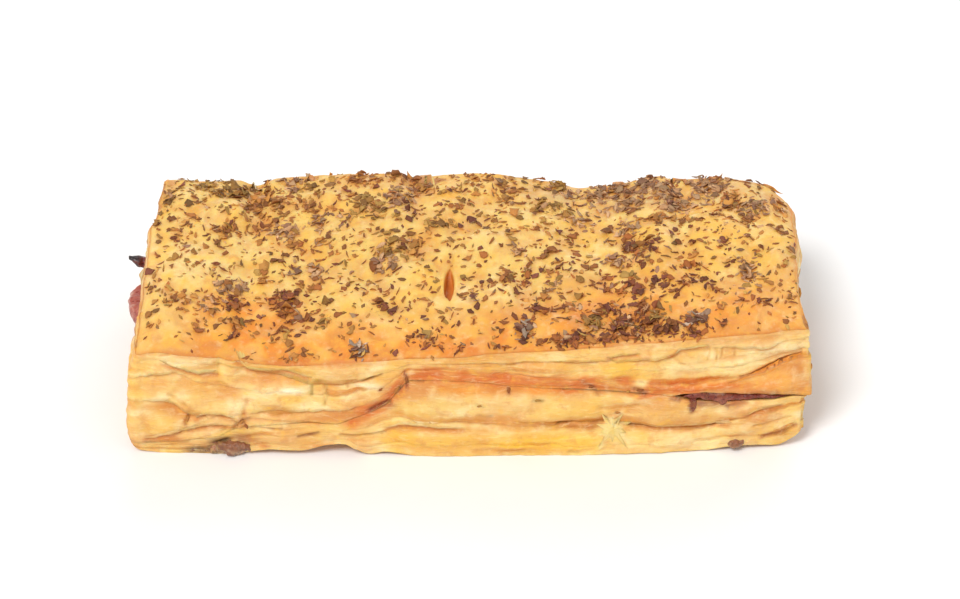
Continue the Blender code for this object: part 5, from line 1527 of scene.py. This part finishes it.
def sheet_looks(rows, layers, outs, total, tone):
    """Colours and fields of a sheet, so far only those of its sides."""
    sides = layers.size
    out_x, out_y = (np.broadcast_to(outs[:, axis], layers.shape).ravel() for axis in (0, 1))
    colours = plain((total,), tone)
    colours[:sides] = side_colours(*rows.reshape(-1, 3).T, out_x, out_y, layers.ravel(),
                                   row_recess(rows, outs))
    fields = {"side": np.ones(total), "dust": np.zeros(total), "layer": np.zeros(total)}
    fields["side"][:sides] = LAYERED
    fields["layer"][:sides] = layers.ravel()
    return colours, fields


def crust_faces(sides, count):
    """Quads of the crust's grid, whose rim is the last row of the sides."""
    index = np.zeros((COLUMNS + 1, DEEP_COLUMNS + 1), int)
    for order, (i, j) in enumerate(perimeter()):
        index[i, j] = sides - count + order
    inner = index[1:-1, 1:-1]
    index[1:-1, 1:-1] = sides + np.arange(inner.size).reshape(inner.shape)
    return np.stack([index[:-1, :-1], index[1:, :-1], index[1:, 1:], index[:-1, 1:]],
                    axis=-1).reshape(-1, 4).tolist()


def build_top_sheet(places):
    """The top sheet: its crust as a fine grid, its flaky sides, and a plain underside."""
    rows, layers, outs, plan = sheet_sides(TOP_EDGES, TOP_BAND_ROWS, top_faces, TOP_ROUNDING)
    rim_x, rim_y = rows[-1][:, 0], rows[-1][:, 1]
    grid_x, grid_y = crust_grid(rows[-1])
    warped_x, depth, lip = vent_warp(grid_x, grid_y)
    relief = crust_relief(warped_x, grid_y)
    fringe = TOP_ROUNDING * (1.0 - smooth(inside_edge(warped_x, grid_y) / RIM_FRINGE))
    grid_z = top_height(warped_x, grid_y) + relief + lip - depth - fringe
    rim_relief = crust_relief(rim_x, rim_y)
    rim_z = top_height(rim_x, rim_y) + rim_relief
    rows[-1][:, 2] = rim_z - TOP_ROUNDING
    crust = solid_points(warped_x, grid_y, grid_z)[1:-1, 1:-1].reshape(-1, 3)
    caps = cap_rings(plan, lambda x, y: top_faces(x, y)[0])
    points, faces = sheet_mesh(rows, crust, caps, [])
    sides, count = layers.size, len(rim_x)
    faces += crust_faces(sides, count)
    colours, fields = sheet_looks(rows, layers, outs, len(points), "rust")
    on_rim, on_crust = slice(sides - count, sides), slice(sides, sides + len(crust))
    top_colours = crust_colours(warped_x, grid_y, relief, depth, places)
    colours[on_crust] = top_colours[1:-1, 1:-1].reshape(-1, 3)
    colours[on_rim] = crust_colours(rim_x, rim_y, rim_relief, np.zeros(count), places)
    brown = 0.6 * np.exp(-(rim_z[None, :] - rows[..., 2]) / 0.7)
    colours[:sides] = mixed(colours[:sides], TONES["toast"], brown.ravel())
    fields["side"][on_rim] = 0.3
    fields["side"][on_crust] = 0.0
    fields["dust"][on_crust] = herb_weight(warped_x, grid_y)[1:-1, 1:-1].ravel()
    add_piece("top_sheet", "pastry_top", points, faces, colours, pastry_material("pastry_top"),
              fields, replaces=True)
    return points, faces


def build_bottom_sheet():
    """The bottom sheet: flaky sides between a hidden upper face and the underside."""
    rows, layers, outs, plan = sheet_sides(BOTTOM_EDGES, BOTTOM_BAND_ROWS, bottom_faces,
                                           BOTTOM_ROUNDING)
    lower, upper = cap_rings(plan, under_lift), cap_rings(plan, lambda x, y: bottom_faces(x, y)[1])
    points, faces = sheet_mesh(rows, np.zeros((0, 3)), lower, upper)
    colours, fields = sheet_looks(rows, layers, outs, len(points), "under")
    add_piece("bottom_sheet", "pastry_bottom", points, faces, colours,
              pastry_material("pastry_bottom"), fields, replaces=True)
    return points, faces


def solid_herb_places():
    """The places of the flakes that the part's own solid has."""
    dice = random.Random(SOLID_SEED)
    places = []
    while len(places) < SOLID_COUNT:
        x = dice.uniform(float(curve(0.0, LEFT_X)), float(curve(0.0, RIGHT_X)))
        y = dice.uniform(float(curve(0.0, FRONT_Y)), float(curve(0.0, BACK_Y)))
        chance = dice.random()
        if inside_edge(x, y) < SOLID_MARGIN or near_vent(x, y, SOLID_BARE):
            continue
        if any(math.hypot(x - other[0], y - other[1]) < SOLID_SPACING for other in places):
            continue
        weight = SOLID_BACKGROUND + sum(patch[-1] * hill(x, y, patch, 1) for patch in SOLID_PATCHES)
        if chance < weight / SOLID_MOST_WEIGHT:
            places.append((x, y))
    return places


def near_vent(x, y, bare):
    """Whether a place is in the bare patch round the vent."""
    return abs(x - VENT["x"]) < bare[0] and abs(y - VENT["y"]) < bare[1]


def herb_draws(dice, margin):
    """Draws places for bits of herb, each with a chance and how thickly they lie there."""
    while True:
        x, y = (dice.uniform(*limits) for limits in HERB_FIELD)
        chance = dice.random()
        if inside_edge(x, y) >= margin and not near_vent(x, y, VENT_BARE):
            yield x, y, chance, float(herb_weight(x, y))


def herb_places(dice):
    """Places of all the flakes, with each one's length."""
    places = []
    for number, (x, y) in enumerate(solid_herb_places()):
        places.append((x, y, SOLID_SHRINK * blend(*SOLID_LENGTHS, number / SOLID_COUNT)))
    draws = herb_draws(dice, HERB_MARGIN)
    while len(places) < HERB_COUNT:
        x, y, chance, weight = next(draws)
        if HERB_TIDINESS * chance < weight:
            longer = HERB_LONGER[0] + HERB_LONGER[1] * min(weight, HERB_LONGER[2])
            length = dice.triangular(*HERB_LENGTHS) * longer
            places.append((x, y, length))
    return places


def herb_tone(x, y, dice):
    """Colour of a bit of herb: of the strongest cluster's kind, with some mixing."""
    best, kind = WEAKEST_CLUSTER, dice.choice(("brown", "brown", "olive", "dark"))
    for name, clusters in HERB_CLUSTERS.items():
        strongest = max(cluster[-1] * hill(x, y, cluster, 1) for cluster in clusters)
        if strongest > best:
            best, kind = strongest, name
    if dice.random() < OTHER_KINDS:
        kind = dice.choice(("brown", "olive", "grey", "dark"))
    return np.array(dice.choice(HERB_TONES[kind]), float)


def closed_faces(lines, width, turned):
    """Faces of a thin closed sheet: two grids of points, one behind the other, and a rim."""
    layer = lines * width
    faces = []
    for a in (line * width + step for line in range(lines - 1) for step in range(width - 1)):
        faces.append((a, a + 1, a + width + 1, a + width))
        faces.append((layer + a + width, layer + a + width + 1, layer + a + 1, layer + a))
    rim = [line * width for line in range(lines)]
    rim += [(lines - 1) * width + step for step in range(1, width)]
    rim += [line * width + width - 1 for line in range(lines - 2, -1, -1)]
    rim += list(range(width - 2, 0, -1))
    for a, b in zip(rim, rim[1:] + rim[:1]):
        faces.append((a, b, layer + b, layer + a))
    return [face[::-1] for face in faces] if turned else faces


def herb_flake(dice, length, own_slim=None):
    """Points and faces of one flake: a torn, curled scrap of leaf or a bit of stem."""
    stem = dice.random() < FLAKE["stems"]
    slim = dice.choice(FLAKE["slim"]) * dice.uniform(*FLAKE["spread"])
    slim = dice.uniform(*FLAKE["stem_slim"]) if stem else slim
    thick, blunt = FLAKE_THICK["stem" if stem else "leaf"]
    curl = dice.uniform(*FLAKE["curl"]) / max(length, 1.2)
    fold = dice.uniform(*FLAKE["fold"])
    twist = dice.uniform(*FLAKE["twist"]) / length
    bow = dice.uniform(*FLAKE["bow"]) / length
    if own_slim is not None:
        slim = own_slim
        curl, fold, twist, bow = (FLAKE["stuck"] * value for value in (curl, fold, twist, bow))
    upper, lower = [], []
    for step in range(FLAKE_STEPS + 1):
        along = -0.5 + step / FLAKE_STEPS
        if 0 < step < FLAKE_STEPS:
            along += dice.uniform(*FLAKE["uneven"])
        full = max((1.0 - (2.0 * along) ** 2) ** 0.6, blunt)
        wide = 0.5 * slim * length * full
        middle = bow * (along * length) ** 2
        upper.append((along * length, middle + wide * dice.uniform(*FLAKE["torn"])))
        lower.append((along * length, middle - wide * dice.uniform(*FLAKE["torn"])))
    middles = [(0.5 * (a[0] + b[0]), 0.5 * (a[1] + b[1])) for a, b in zip(upper, lower)]
    points = [(x, y, curl * x * x + fold * abs(y) + twist * x * y + level)
              for level in (thick, -thick) for x, y in upper + middles + lower]
    return points, closed_faces(3, FLAKE_STEPS + 1, True)


def landing(tree, x, y):
    """Where a bit dropped on the crust comes down and the normal there, or nothing."""
    hit, normal, _, _ = tree.ray_cast(Vector((x, y, DROPPED_FROM)), Vector((0.0, 0.0, -1.0)))
    return None if hit is None or normal.z < STEEPEST_LANDING else (hit, normal)


def lying(normal, dice):
    """Turns a bit to lie on a surface, facing any way."""
    spin = Matrix.Rotation(dice.uniform(0.0, math.tau), 4, "Z")
    return normal.to_track_quat("Z", "X").to_matrix().to_4x4() @ spin


def build_herbs(tree, places):
    """The dried herbs, laid on the crust one by one, and those that stuck to the front."""
    dice = random.Random(HERB_SEED + 1)
    herbs = Gathered()
    for x, y, length in places:
        landed = landing(tree, x, y)
        if landed is None:
            continue
        weight = float(herb_weight(x, y))
        flake, faces = herb_flake(dice, length)
        turn = lying(landed[1], dice)
        lean = min(STEEPEST_LEAN, abs(dice.gauss(0.0, LEAN + CROWDED_LEAN * weight)))
        rise = HERB_SINK + LEAN_RISE * length * math.sin(lean) + dice.random() * HEAP * weight
        turn = turn @ Matrix.Rotation(lean, 4, "X")
        matrix = Matrix.Translation(landed[0] + landed[1] * rise) @ turn
        placed = [matrix @ Vector(point) for point in flake]
        excess = Vector((0.0, 0.0, max(0.0, max(point.z for point in placed) - HIGHEST)))
        tone = herb_tone(x, y, dice) * dice.uniform(*HERB_SHADES)
        herbs.add([point - excess for point in placed], faces, [tone] * len(flake))
    for x, z, length, slim, angle, kind in FRONT_HERBS:
        flake, faces = herb_flake(dice, length, slim)
        place = side_point("front", x, side_hit(tree, "front", x, z) + STUCK_RISE, z)
        upright = Matrix.Rotation(math.radians(90.0), 4, "X")
        matrix = Matrix.Translation(place) @ upright @ Matrix.Rotation(math.radians(angle), 4, "Z")
        herbs.add([matrix @ Vector(point) for point in flake], faces,
                  [np.array(HERB_TONES[kind][0], float)] * len(flake))
    herbs.piece("herb_flakes", "pastry_top", herb_material())


def build_crumbs(tree):
    """Crumbled herb: small bits between the flakes and round them."""
    dice = random.Random(CRUMB_SEED)
    crumbs = Gathered()
    faces = []
    for step, after in ((0, 1), (1, 2), (2, 3), (3, 0)):
        faces += [(step, after, 4), (after, step, 5)]
    made = 0
    draws = herb_draws(dice, CRUMB_MARGIN)
    while made < CRUMB_COUNT:
        x, y, chance, weight = next(draws)
        if chance > CRUMB_BACKGROUND + CRUMB_GAIN * weight:
            continue
        made += 1
        landed = landing(tree, x, y)
        if landed is None:
            continue
        half = dice.triangular(*CRUMB_LENGTHS)
        matrix = Matrix.Translation(landed[0] + CRUMB_SINK * landed[1]) @ lying(landed[1], dice)
        points = []
        for corner in CRUMB_CORNERS:
            loose = [(value + dice.uniform(*CRUMB_UNEVEN)) * half for value in corner]
            place = matrix @ Vector(loose)
            points.append((place.x, place.y, min(place.z, HIGHEST)))
        tone = herb_tone(x, y, dice) * dice.uniform(*CRUMB_SHADES)
        crumbs.add(points, faces, [tone] * len(points))
    crumbs.piece("herb_crumbs", "pastry_top", herb_material())


def side_hit(tree, side, u, z):
    """The surface of a side, seen square on: its distance out from the middle."""
    out_x, out_y = SIDES[side]
    start = Vector(side_point(side, u, SEEN_FROM, z))
    hit = tree.ray_cast(start, Vector((-out_x, -out_y, 0.0)))[0]
    out = 0.0 if hit is None else hit.x * out_x + hit.y * out_y
    return out if out > NEAREST[side] else None


def side_point(side, u, out, z):
    """A point of a side, from its place along the side, its distance out and its height."""
    out_x, out_y = SIDES[side]
    return (out * out_x + u * abs(out_y), out * out_y + u * abs(out_x), z)


def leaf_grid(tree, side, line, width, lift, dice):
    """Columns of points for one leaf: held at one edge, standing off the side at the other."""
    first, last = line[0][0], line[-1][0]
    steps = max(LEAF_LEAST_STEPS, int(abs(last - first) / LEAF_SPACING))
    grid = []
    held = None
    shift = dice.uniform(-1.0, 1.0)
    for step in range(steps + 1):
        share = step / steps
        u = blend(first, last, share)
        edge_z = float(curve(u, line))
        taper = 1.0 - abs(2.0 * share - 1.0) ** 3
        ragged = dice.uniform(*LEAF_RAGGED) if 0 < step < steps else LEAF_TIP
        wave = LEAF_WAVE[0] + LEAF_WAVE[1] * math.sin(LEAF_WAVE[2] * share + LEAF_WAVE[3] * shift)
        column = []
        for row in range(LEAF_ROWS + 1):
            free = row / LEAF_ROWS
            fallen = free * blend(LEAF_NARROW, 1.0, taper * ragged)
            reach = width * (1.0 - fallen - LEAF_DROP * (1.0 - taper))
            place = side_hit(tree, side, u + shift * free, edge_z + reach)
            held = held if place is None else place
            if held is None:
                return None
            stand = LEAF_STAND + lift * taper * wave
            out = held + blend(-LEAF_SINK, stand, free ** LEAF_ARCH)
            column.append((u + shift * free, min(out, FARTHEST[side]), edge_z + reach))
        grid.append(column)
    return grid


def leaf_mesh(side, grid):
    """Points and faces of a leaf as a thin closed sheet."""
    points = [side_point(side, u, out - inward, z)
              for inward in (0.0, LEAF_THICK) for column in grid for u, out, z in column]
    turned = (grid[0][-1][2] > grid[0][0][2]) != (side in ("left", "back"))
    return points, closed_faces(len(grid), len(grid[0]), turned)


def leaf_colours(count, tone, pallor, dice):
    """Colours from the held edge to the free, browner one, over the leaf and then under it, where painted
    shade darkens them towards rust.
    """
    middle = mixed(np.array(TONES[tone], float), TONES["cream"], np.array(pallor))
    middle = middle * dice.uniform(*LEAF_SHADES)
    edge = mixed(middle, TONES["toast"], np.array(dice.uniform(*LEAF_BROWNING)))
    rows = [mixed(middle, edge, np.array((row / LEAF_ROWS) ** 3)) for row in range(LEAF_ROWS + 1)]
    # The underside: painted shade, darker towards rust.
    under = [mixed(colour, TONES["rust"], np.array(LEAF_UNDERSIDE_SHADE)) for colour in rows]
    return rows * count + under * count


def add_star(tree, leaves):
    """The pale star-shaped flake that stuck to the front, as a thin closed sheet."""
    tips = STAR["points"]
    outline = []
    for (angle, length), (after, _) in zip(tips, tips[1:] + [(tips[0][0] + 360, 0.0)]):
        outline += [(angle, length), (0.5 * (angle + after), STAR["waist"])]
    spots = [(share, share * length, math.radians(angle))
             for share in STAR_RINGS for angle, length in outline]
    points = []
    for inward in (0.0, STAR["thick"]):
        for share, far, angle in spots + [(STAR["hub"], 0.0, 0.0)]:
            u = STAR["x"] + far * math.cos(angle)
            z = max(STAR["lowest"], STAR["z"] + far * math.sin(angle))
            out = side_hit(tree, "front", u, z) + STAR["stand"] - STAR["droop"] * share - inward
            points.append(side_point("front", u, out, z))
    count, layer = len(outline), len(spots) + 1
    faces = []
    for step in range(count):
        after = (step + 1) % count
        faces.append((layer - 1, step, after))
        faces.append((2 * layer - 1, layer + after, layer + step))
        for ring in range(len(STAR_RINGS) - 1):
            a, b = ring * count + step, ring * count + after
            faces.append((a, a + count, b + count, b))
            faces.append((layer + b, layer + b + count, layer + a + count, layer + a))
        a, b = layer - 1 - count + step, layer - 1 - count + after
        faces.append((a, layer + a, layer + b, b))
    middle, tip = (np.array(TONES[tone], float) for tone in ("star", "star_tip"))
    leaves.add(points, faces, 2 * ([middle] * (2 * count) + [tip] * (count + 1)))


def guessed_line(dice, half):
    """A line somewhere on a side, for a leaf that no picture shows."""
    length = min(dice.triangular(SHORTEST_LEAF, 0.5 * half, USUAL_LEAF), LONGEST_LEAF * half)
    u = dice.uniform(-half, half - length)
    z = dice.uniform(*LEAF_HEIGHTS)
    slope = dice.uniform(*LEAF_SLOPES)
    line = []
    for along in (step * length / LEAF_BENDS for step in range(LEAF_BENDS + 1)):
        line.append((u + along, z + slope * along + dice.uniform(*LEAF_WANDER)))
    return line


def rim_line(start, length, side, dice):
    """A stretch of the crust's edge on a side, as a line just under it."""
    line = []
    for step in range(RIM_LEAVES["bends"] + 1):
        u = start + step * length / RIM_LEAVES["bends"]
        x = {"back": u, "left": -HALF_LENGTH, "right": HALF_LENGTH}[side]
        share = 1.0 if side == "back" else float(smooth((u + 0.5 * DEPTH) / DEPTH))
        height = blend(float(curve(x, FRONT_RIM)), float(curve(x, BACK_RIM)), share)
        line.append((u, height - RIM_LEAVES["below"] + dice.uniform(*RIM_LEAVES["wander"])))
    return line


def wanted_leaves(dice):
    """All the leaves: side, line, width, lift and tone."""
    wanted = [("front",) + leaf for leaf in FRONT_LEAVES]
    for side, (count, half, _) in GUESSED_LEAVES.items():
        for _ in range(count):
            width = dice.triangular(*LEAF_WIDTHS) * dice.choice((1.0, 1.0, 1.0, -1.0))
            lift = dice.triangular(*LEAF_LIFTS)
            tone = dice.choice(LEAF_TONES)
            wanted.append((side, guessed_line(dice, half), width, lift, tone))
    for side, (_, _, half) in GUESSED_LEAVES.items():
        start = -half
        while start < half - RIM_LEAVES["least"]:
            length = min(dice.uniform(*RIM_LEAVES["lengths"]), half - start)
            width = dice.uniform(*RIM_LEAVES["widths"])
            line = rim_line(start, length, side, dice)
            tone = dice.choice(RIM_LEAVES["tones"])
            wanted.append((side, line, width, RIM_LEAVES["lift"], tone))
            start += length + dice.uniform(*RIM_LEAVES["gaps"])
    return wanted


def build_leaves(tree):
    """Thin leaves of baked dough that stand off the sides, and the star."""
    dice = random.Random(LEAF_SEED)
    leaves = Gathered()
    for side, line, width, lift, tone in wanted_leaves(dice):
        grid = leaf_grid(tree, side, line, width, lift, dice)
        if grid is None:
            continue
        pallor = BROWN_PALLOR if tone in ("orange", "toast") else dice.uniform(*LEAF_PALLOR)
        leaves.add(*leaf_mesh(side, grid), leaf_colours(len(grid), tone, pallor, dice))
    add_star(tree, leaves)
    count = len(leaves.points)
    leaves.piece("dough_leaves", "pastry_top", pastry_material("pastry_leaves"),
                 {"side": np.full(count, LEAF_LAYERED), "dust": np.zeros(count),
                  "layer": LEAF_LAYERS * np.array(leaves.points)[:, 2]})


def fine_copy(node, voxel):
    """Points, normals and faces of a finely meshed copy of one of the part's solids."""
    copy = bpy.data.objects.new("fine", bpy.data.objects[node].data.copy())
    bpy.context.scene.collection.objects.link(copy)
    remesh = copy.modifiers.new("fine", "REMESH")
    remesh.mode = "VOXEL"
    remesh.voxel_size = voxel * MM
    smoother = copy.modifiers.new("smooth", "SMOOTH")
    smoother.iterations = SMOOTHINGS
    bpy.context.view_layer.update()
    fine = copy.evaluated_get(bpy.context.evaluated_depsgraph_get()).to_mesh()
    points = np.array([vertex.co[:] for vertex in fine.vertices])
    normals = np.array([vertex.normal[:] for vertex in fine.vertices])
    faces = [tuple(face.vertices) for face in fine.polygons]
    bpy.data.objects.remove(copy)
    return points / MM + MIDDLE, normals, faces


def span_share(values):
    """Shares of the way from the lowest value to the highest."""
    return (values - values.min()) / (values.max() - values.min())


def filling_tint(points):
    """Dark sauce, with melted cheese and bits of ham in it."""
    return tinted(plain((len(points),), (112, 34, 28)), [
        ((232, 178, 92), patches(points, 4.5, 201, 2.4, -0.5)),
        ((196, 110, 100), patches(points, 6.0, 202, 2.4, -0.6)),
        ((70, 20, 22), 0.7 * patches(points, 2.2, 203, 2.0, -0.2)),
    ])


def ham_tint(points):
    """Brownish pink meat with paler and darker patches and a greyer underside."""
    return tinted(plain((len(points),), (176, 92, 76)), [
        ((202, 150, 132), patches(points, 3.0, 211, 2.0, -0.2)),
        ((140, 52, 38), 0.8 * patches(points, 2.4, 212, 2.0, -0.1)),
        ((168, 142, 144), 0.8 * smooth((0.4 - span_share(points[:, 2])) / 0.3)),
    ])


def pepper_tint(points):
    """A charred pepper: dark red, black at its tip."""
    charred = smooth((0.42 - span_share(points[:, 0])) / 0.3)
    return mixed(plain((len(points),), (118, 30, 22)), (44, 34, 36), charred)


def leak_tint(points):
    """Sauce that ran out and browned, olive at its left end, with a paler, greyer foot that is painted
    shadow.
    """
    at_left = smooth((-66.0 - points[:, 0]) / 3.0)
    return tinted(plain((len(points),), (142, 90, 58)), [
        # Painted shadow: greyer and paler towards the foot.
        ((176, 142, 112), smooth((3.2 - points[:, 2]) / 2.2)),
        ((160, 124, 74), 0.9 * at_left),
        ((196, 156, 98), 0.7 * at_left * patches(points, 2.0, 222, 2.4)),
        ((118, 68, 50), 0.7 * patches(points, 2.4, 221, 2.2, -0.1)),
    ])


def slot_tint(points):
    """Dark brownish red, paler and browner in places."""
    return tinted(plain((len(points),), (118, 40, 20)), [
        ((154, 86, 64), patches(points, 3.4, 321, 2.2)),
        ((136, 78, 38), patches(points, 2.6, 322, 2.2)),
    ])


def build_moist_piece(node, name, voxel, layers, grow, tint, **look):
    """A lumpy piece in place of one of the part's small soft solids."""
    points, normals, faces = fine_copy(node, voxel)
    farthest = points[:, 0].min()
    for size, rise, seed in layers:
        points = points + normals * (rise * (grain(points, size, seed) + grow))[:, None]
    points[:, 0] = np.maximum(points[:, 0], farthest)
    points[:, 2] = np.maximum(points[:, 2], LOWEST)
    add_piece(name, node, points, faces, tint(points), moist_material(name, **look), replaces=True)


def build_inside():
    """The filling and what hangs out of the pastry."""
    build_moist_piece("filling", "filling_sauce", voxel=0.9, grow=-0.5, tint=filling_tint,
                      layers=[(5.0, 0.5, 301), (2.0, 0.25, 302)],
                      dark=(84, 18, 18), pale=(226, 160, 84), shine=0.18)
    build_moist_piece("ham_slice", "ham_lump", voxel=0.3, grow=-0.3, tint=ham_tint,
                      layers=[(3.0, 0.5, 303), (1.2, 0.2, 304)],
                      dark=(134, 50, 40), pale=(214, 160, 142), shine=0.25)
    build_moist_piece("pepper_tip", "pepper_end", voxel=0.15, grow=1.0, tint=pepper_tint,
                      layers=[(1.6, 0.4, 305)],
                      dark=(30, 18, 18), pale=(150, 70, 56), shine=0.22)
    build_moist_piece("sauce_leak_left", "leak_left", voxel=0.25, grow=-0.1, tint=leak_tint,
                      layers=[(3.0, 0.9, 306), (1.0, 0.4, 307)],
                      dark=(104, 60, 42), pale=(196, 160, 130), shine=0.3)
    build_moist_piece("sauce_leak_right", "leak_right", voxel=0.25, grow=-0.1, tint=leak_tint,
                      layers=[(2.4, 0.7, 308), (1.0, 0.3, 309)],
                      dark=(116, 72, 48), pale=(206, 166, 128), shine=0.3)


def ring(x, out, z, across, upward):
    """A ring of points in front of the pastry, from two vectors that span it."""
    return [(x + across[0] * math.cos(angle) + upward[0] * math.sin(angle),
             -(out + across[1] * math.cos(angle) + upward[1] * math.sin(angle)),
             z + across[2] * math.cos(angle) + upward[2] * math.sin(angle))
            for angle in ROLL_ANGLES]


def roll_rings(tree, radii, base, rise):
    """Rings of a lumpy roll that lies along a line of the front, half sunk into it."""
    start, end = radii[0][0], radii[-1][0]
    rings = []
    for x in np.linspace(start, end, int((end - start) / ROLL_SPACING)):
        radius = float(curve(x, radii))
        z = rise * radius + float(curve(x, base))
        below = max(ROLL_LOWEST, z - radius - ROLL_BELOW)
        out = side_hit(tree, "front", x, below) - ROLL_SET_BACK
        rings.append(ring(x, out, z, (0.0, radius, 0.0), (0.0, 0.0, radius)))
    return rings


def drip_rings(tree, x, low, high, half):
    """Rings of a drip that ran down the front."""
    rings = []
    for share in np.linspace(0.0, 1.0, DRIP_RINGS):
        z = high + (low - high) * share
        wide = half * math.sin(math.pi * (DRIP_NECK + DRIP_SPAN * share)) ** 0.5
        out = side_hit(tree, "front", x, min(z, low + DRIP_BELOW)) - DRIP_SET_BACK
        rings.append(ring(x, out, z, (wide, 0.0, 0.0), (0.0, DRIP_FLAT * wide, 0.0)))
    return rings


def add_sauce(name, node, rolls, tint):
    """Makes one piece of sauce from several closed rolls, each of rings of points."""
    sauce = Gathered()
    count = ROLL_AROUND
    for rings in rolls:
        last = (len(rings) - 1) * count
        faces = [quad[::-1] for start in range(0, last, count)
                 for quad in ring_faces(count, start, start + count)]
        faces += [range(count - 1, -1, -1), range(last, last + count)]
        sauce.add([point for ring in rings for point in ring], faces)
    points = np.array(sauce.points)
    points = points + solid_points(0.0, lumps(points, SAUCE_LUMPS), lumps(points, SAUCE_SAG))
    points[:, 2] = np.maximum(points[:, 2], LOWEST)
    add_piece(name, node, points, sauce.faces, tint(points),
              moist_material(name, dark=(70, 26, 28), pale=(176, 110, 92), shine=0.22))


def build_sauce(tree):
    """Sauce at the mouth of the slot with its drips, and what ran out at the foot."""
    slot = [roll_rings(tree, SLOT_ROLL, FRONT_SEAM, 0.0)]
    slot += [drip_rings(tree, *drip) for drip in SLOT_DRIPS]
    add_sauce("slot_sauce", "filling", slot, slot_tint)
    for side, roll in (("left", LEFT_ROLL), ("right", RIGHT_ROLL)):
        rings = roll_rings(tree, roll, FRONT_LIFT, FOOT_RISE)
        add_sauce(f"leak_{side}_foot", f"sauce_leak_{side}", [rings], leak_tint)


def make_camera():
    """The photograph's own view: from the front, 36 degrees above the table."""
    elevation = math.radians(CAMERA["elevation"])
    data = bpy.data.cameras.new("camera")
    for key in ("lens", "clip_start", "clip_end"):
        setattr(data, key, CAMERA[key])
    camera = bpy.data.objects.new("camera", data)
    back = Vector((0.0, -math.cos(elevation), math.sin(elevation)))
    camera.location = Vector(CAMERA["target"]) + CAMERA["distance"] * back
    camera.rotation_euler = (-back).to_track_quat("-Z", "Y").to_euler()
    bpy.context.scene.collection.objects.link(camera)
    bpy.context.scene.camera = camera


def add_light(name, direction, spread, strength):
    """A distant lamp with a broad face, shining from a direction."""
    data = bpy.data.lights.new(name, "SUN")
    data.angle = math.radians(spread)
    data.energy = strength
    light = bpy.data.objects.new(name, data)
    light.location = direction
    light.rotation_euler = Vector(direction).to_track_quat("Z", "Y").to_euler()
    bpy.context.scene.collection.objects.link(light)


def make_stage():
    """A pale floor, an even white sky and soft lights."""
    scene = bpy.context.scene
    scene.view_settings.view_transform = "Standard"
    scene.world = bpy.data.worlds.new("studio")
    scene.world.use_nodes = True
    sky = scene.world.node_tree.nodes["Background"].inputs
    sky["Color"].default_value = (1.0, 1.0, 1.0, 1.0)
    sky["Strength"].default_value = SKY
    for name, light in LIGHTS.items():
        add_light(name, *light)
    bpy.ops.mesh.primitive_plane_add(size=FLOOR_SIZE, location=(0.0, 0.0, FLOOR_HEIGHT))
    floor = bpy.context.object
    floor.name = "floor"
    nodes = Nodes("floor")
    spots = nodes.noise(*FLOOR_SPOTS)
    colour = nodes.mix(spots, *FLOOR_TONES)
    normal = nodes.bumps([(spots, *FLOOR_BUMPS)])
    floor.data.materials.append(nodes.finish(colour, FLOOR_ROUGHNESS, normal))


def main():
    """Builds every piece, the herbs' places first, because the crust browns round them."""
    places = herb_places(random.Random(HERB_SEED))
    points, faces = build_top_sheet(places)
    low_points, low_faces = build_bottom_sheet()
    both = Gathered()
    both.add(points, faces)
    both.add(low_points, low_faces)
    tree = BVHTree.FromPolygons(both.points, both.faces)
    build_leaves(tree)
    build_herbs(tree, places)
    build_crumbs(tree)
    build_inside()
    build_sauce(tree)
    make_camera()
    make_stage()


main()
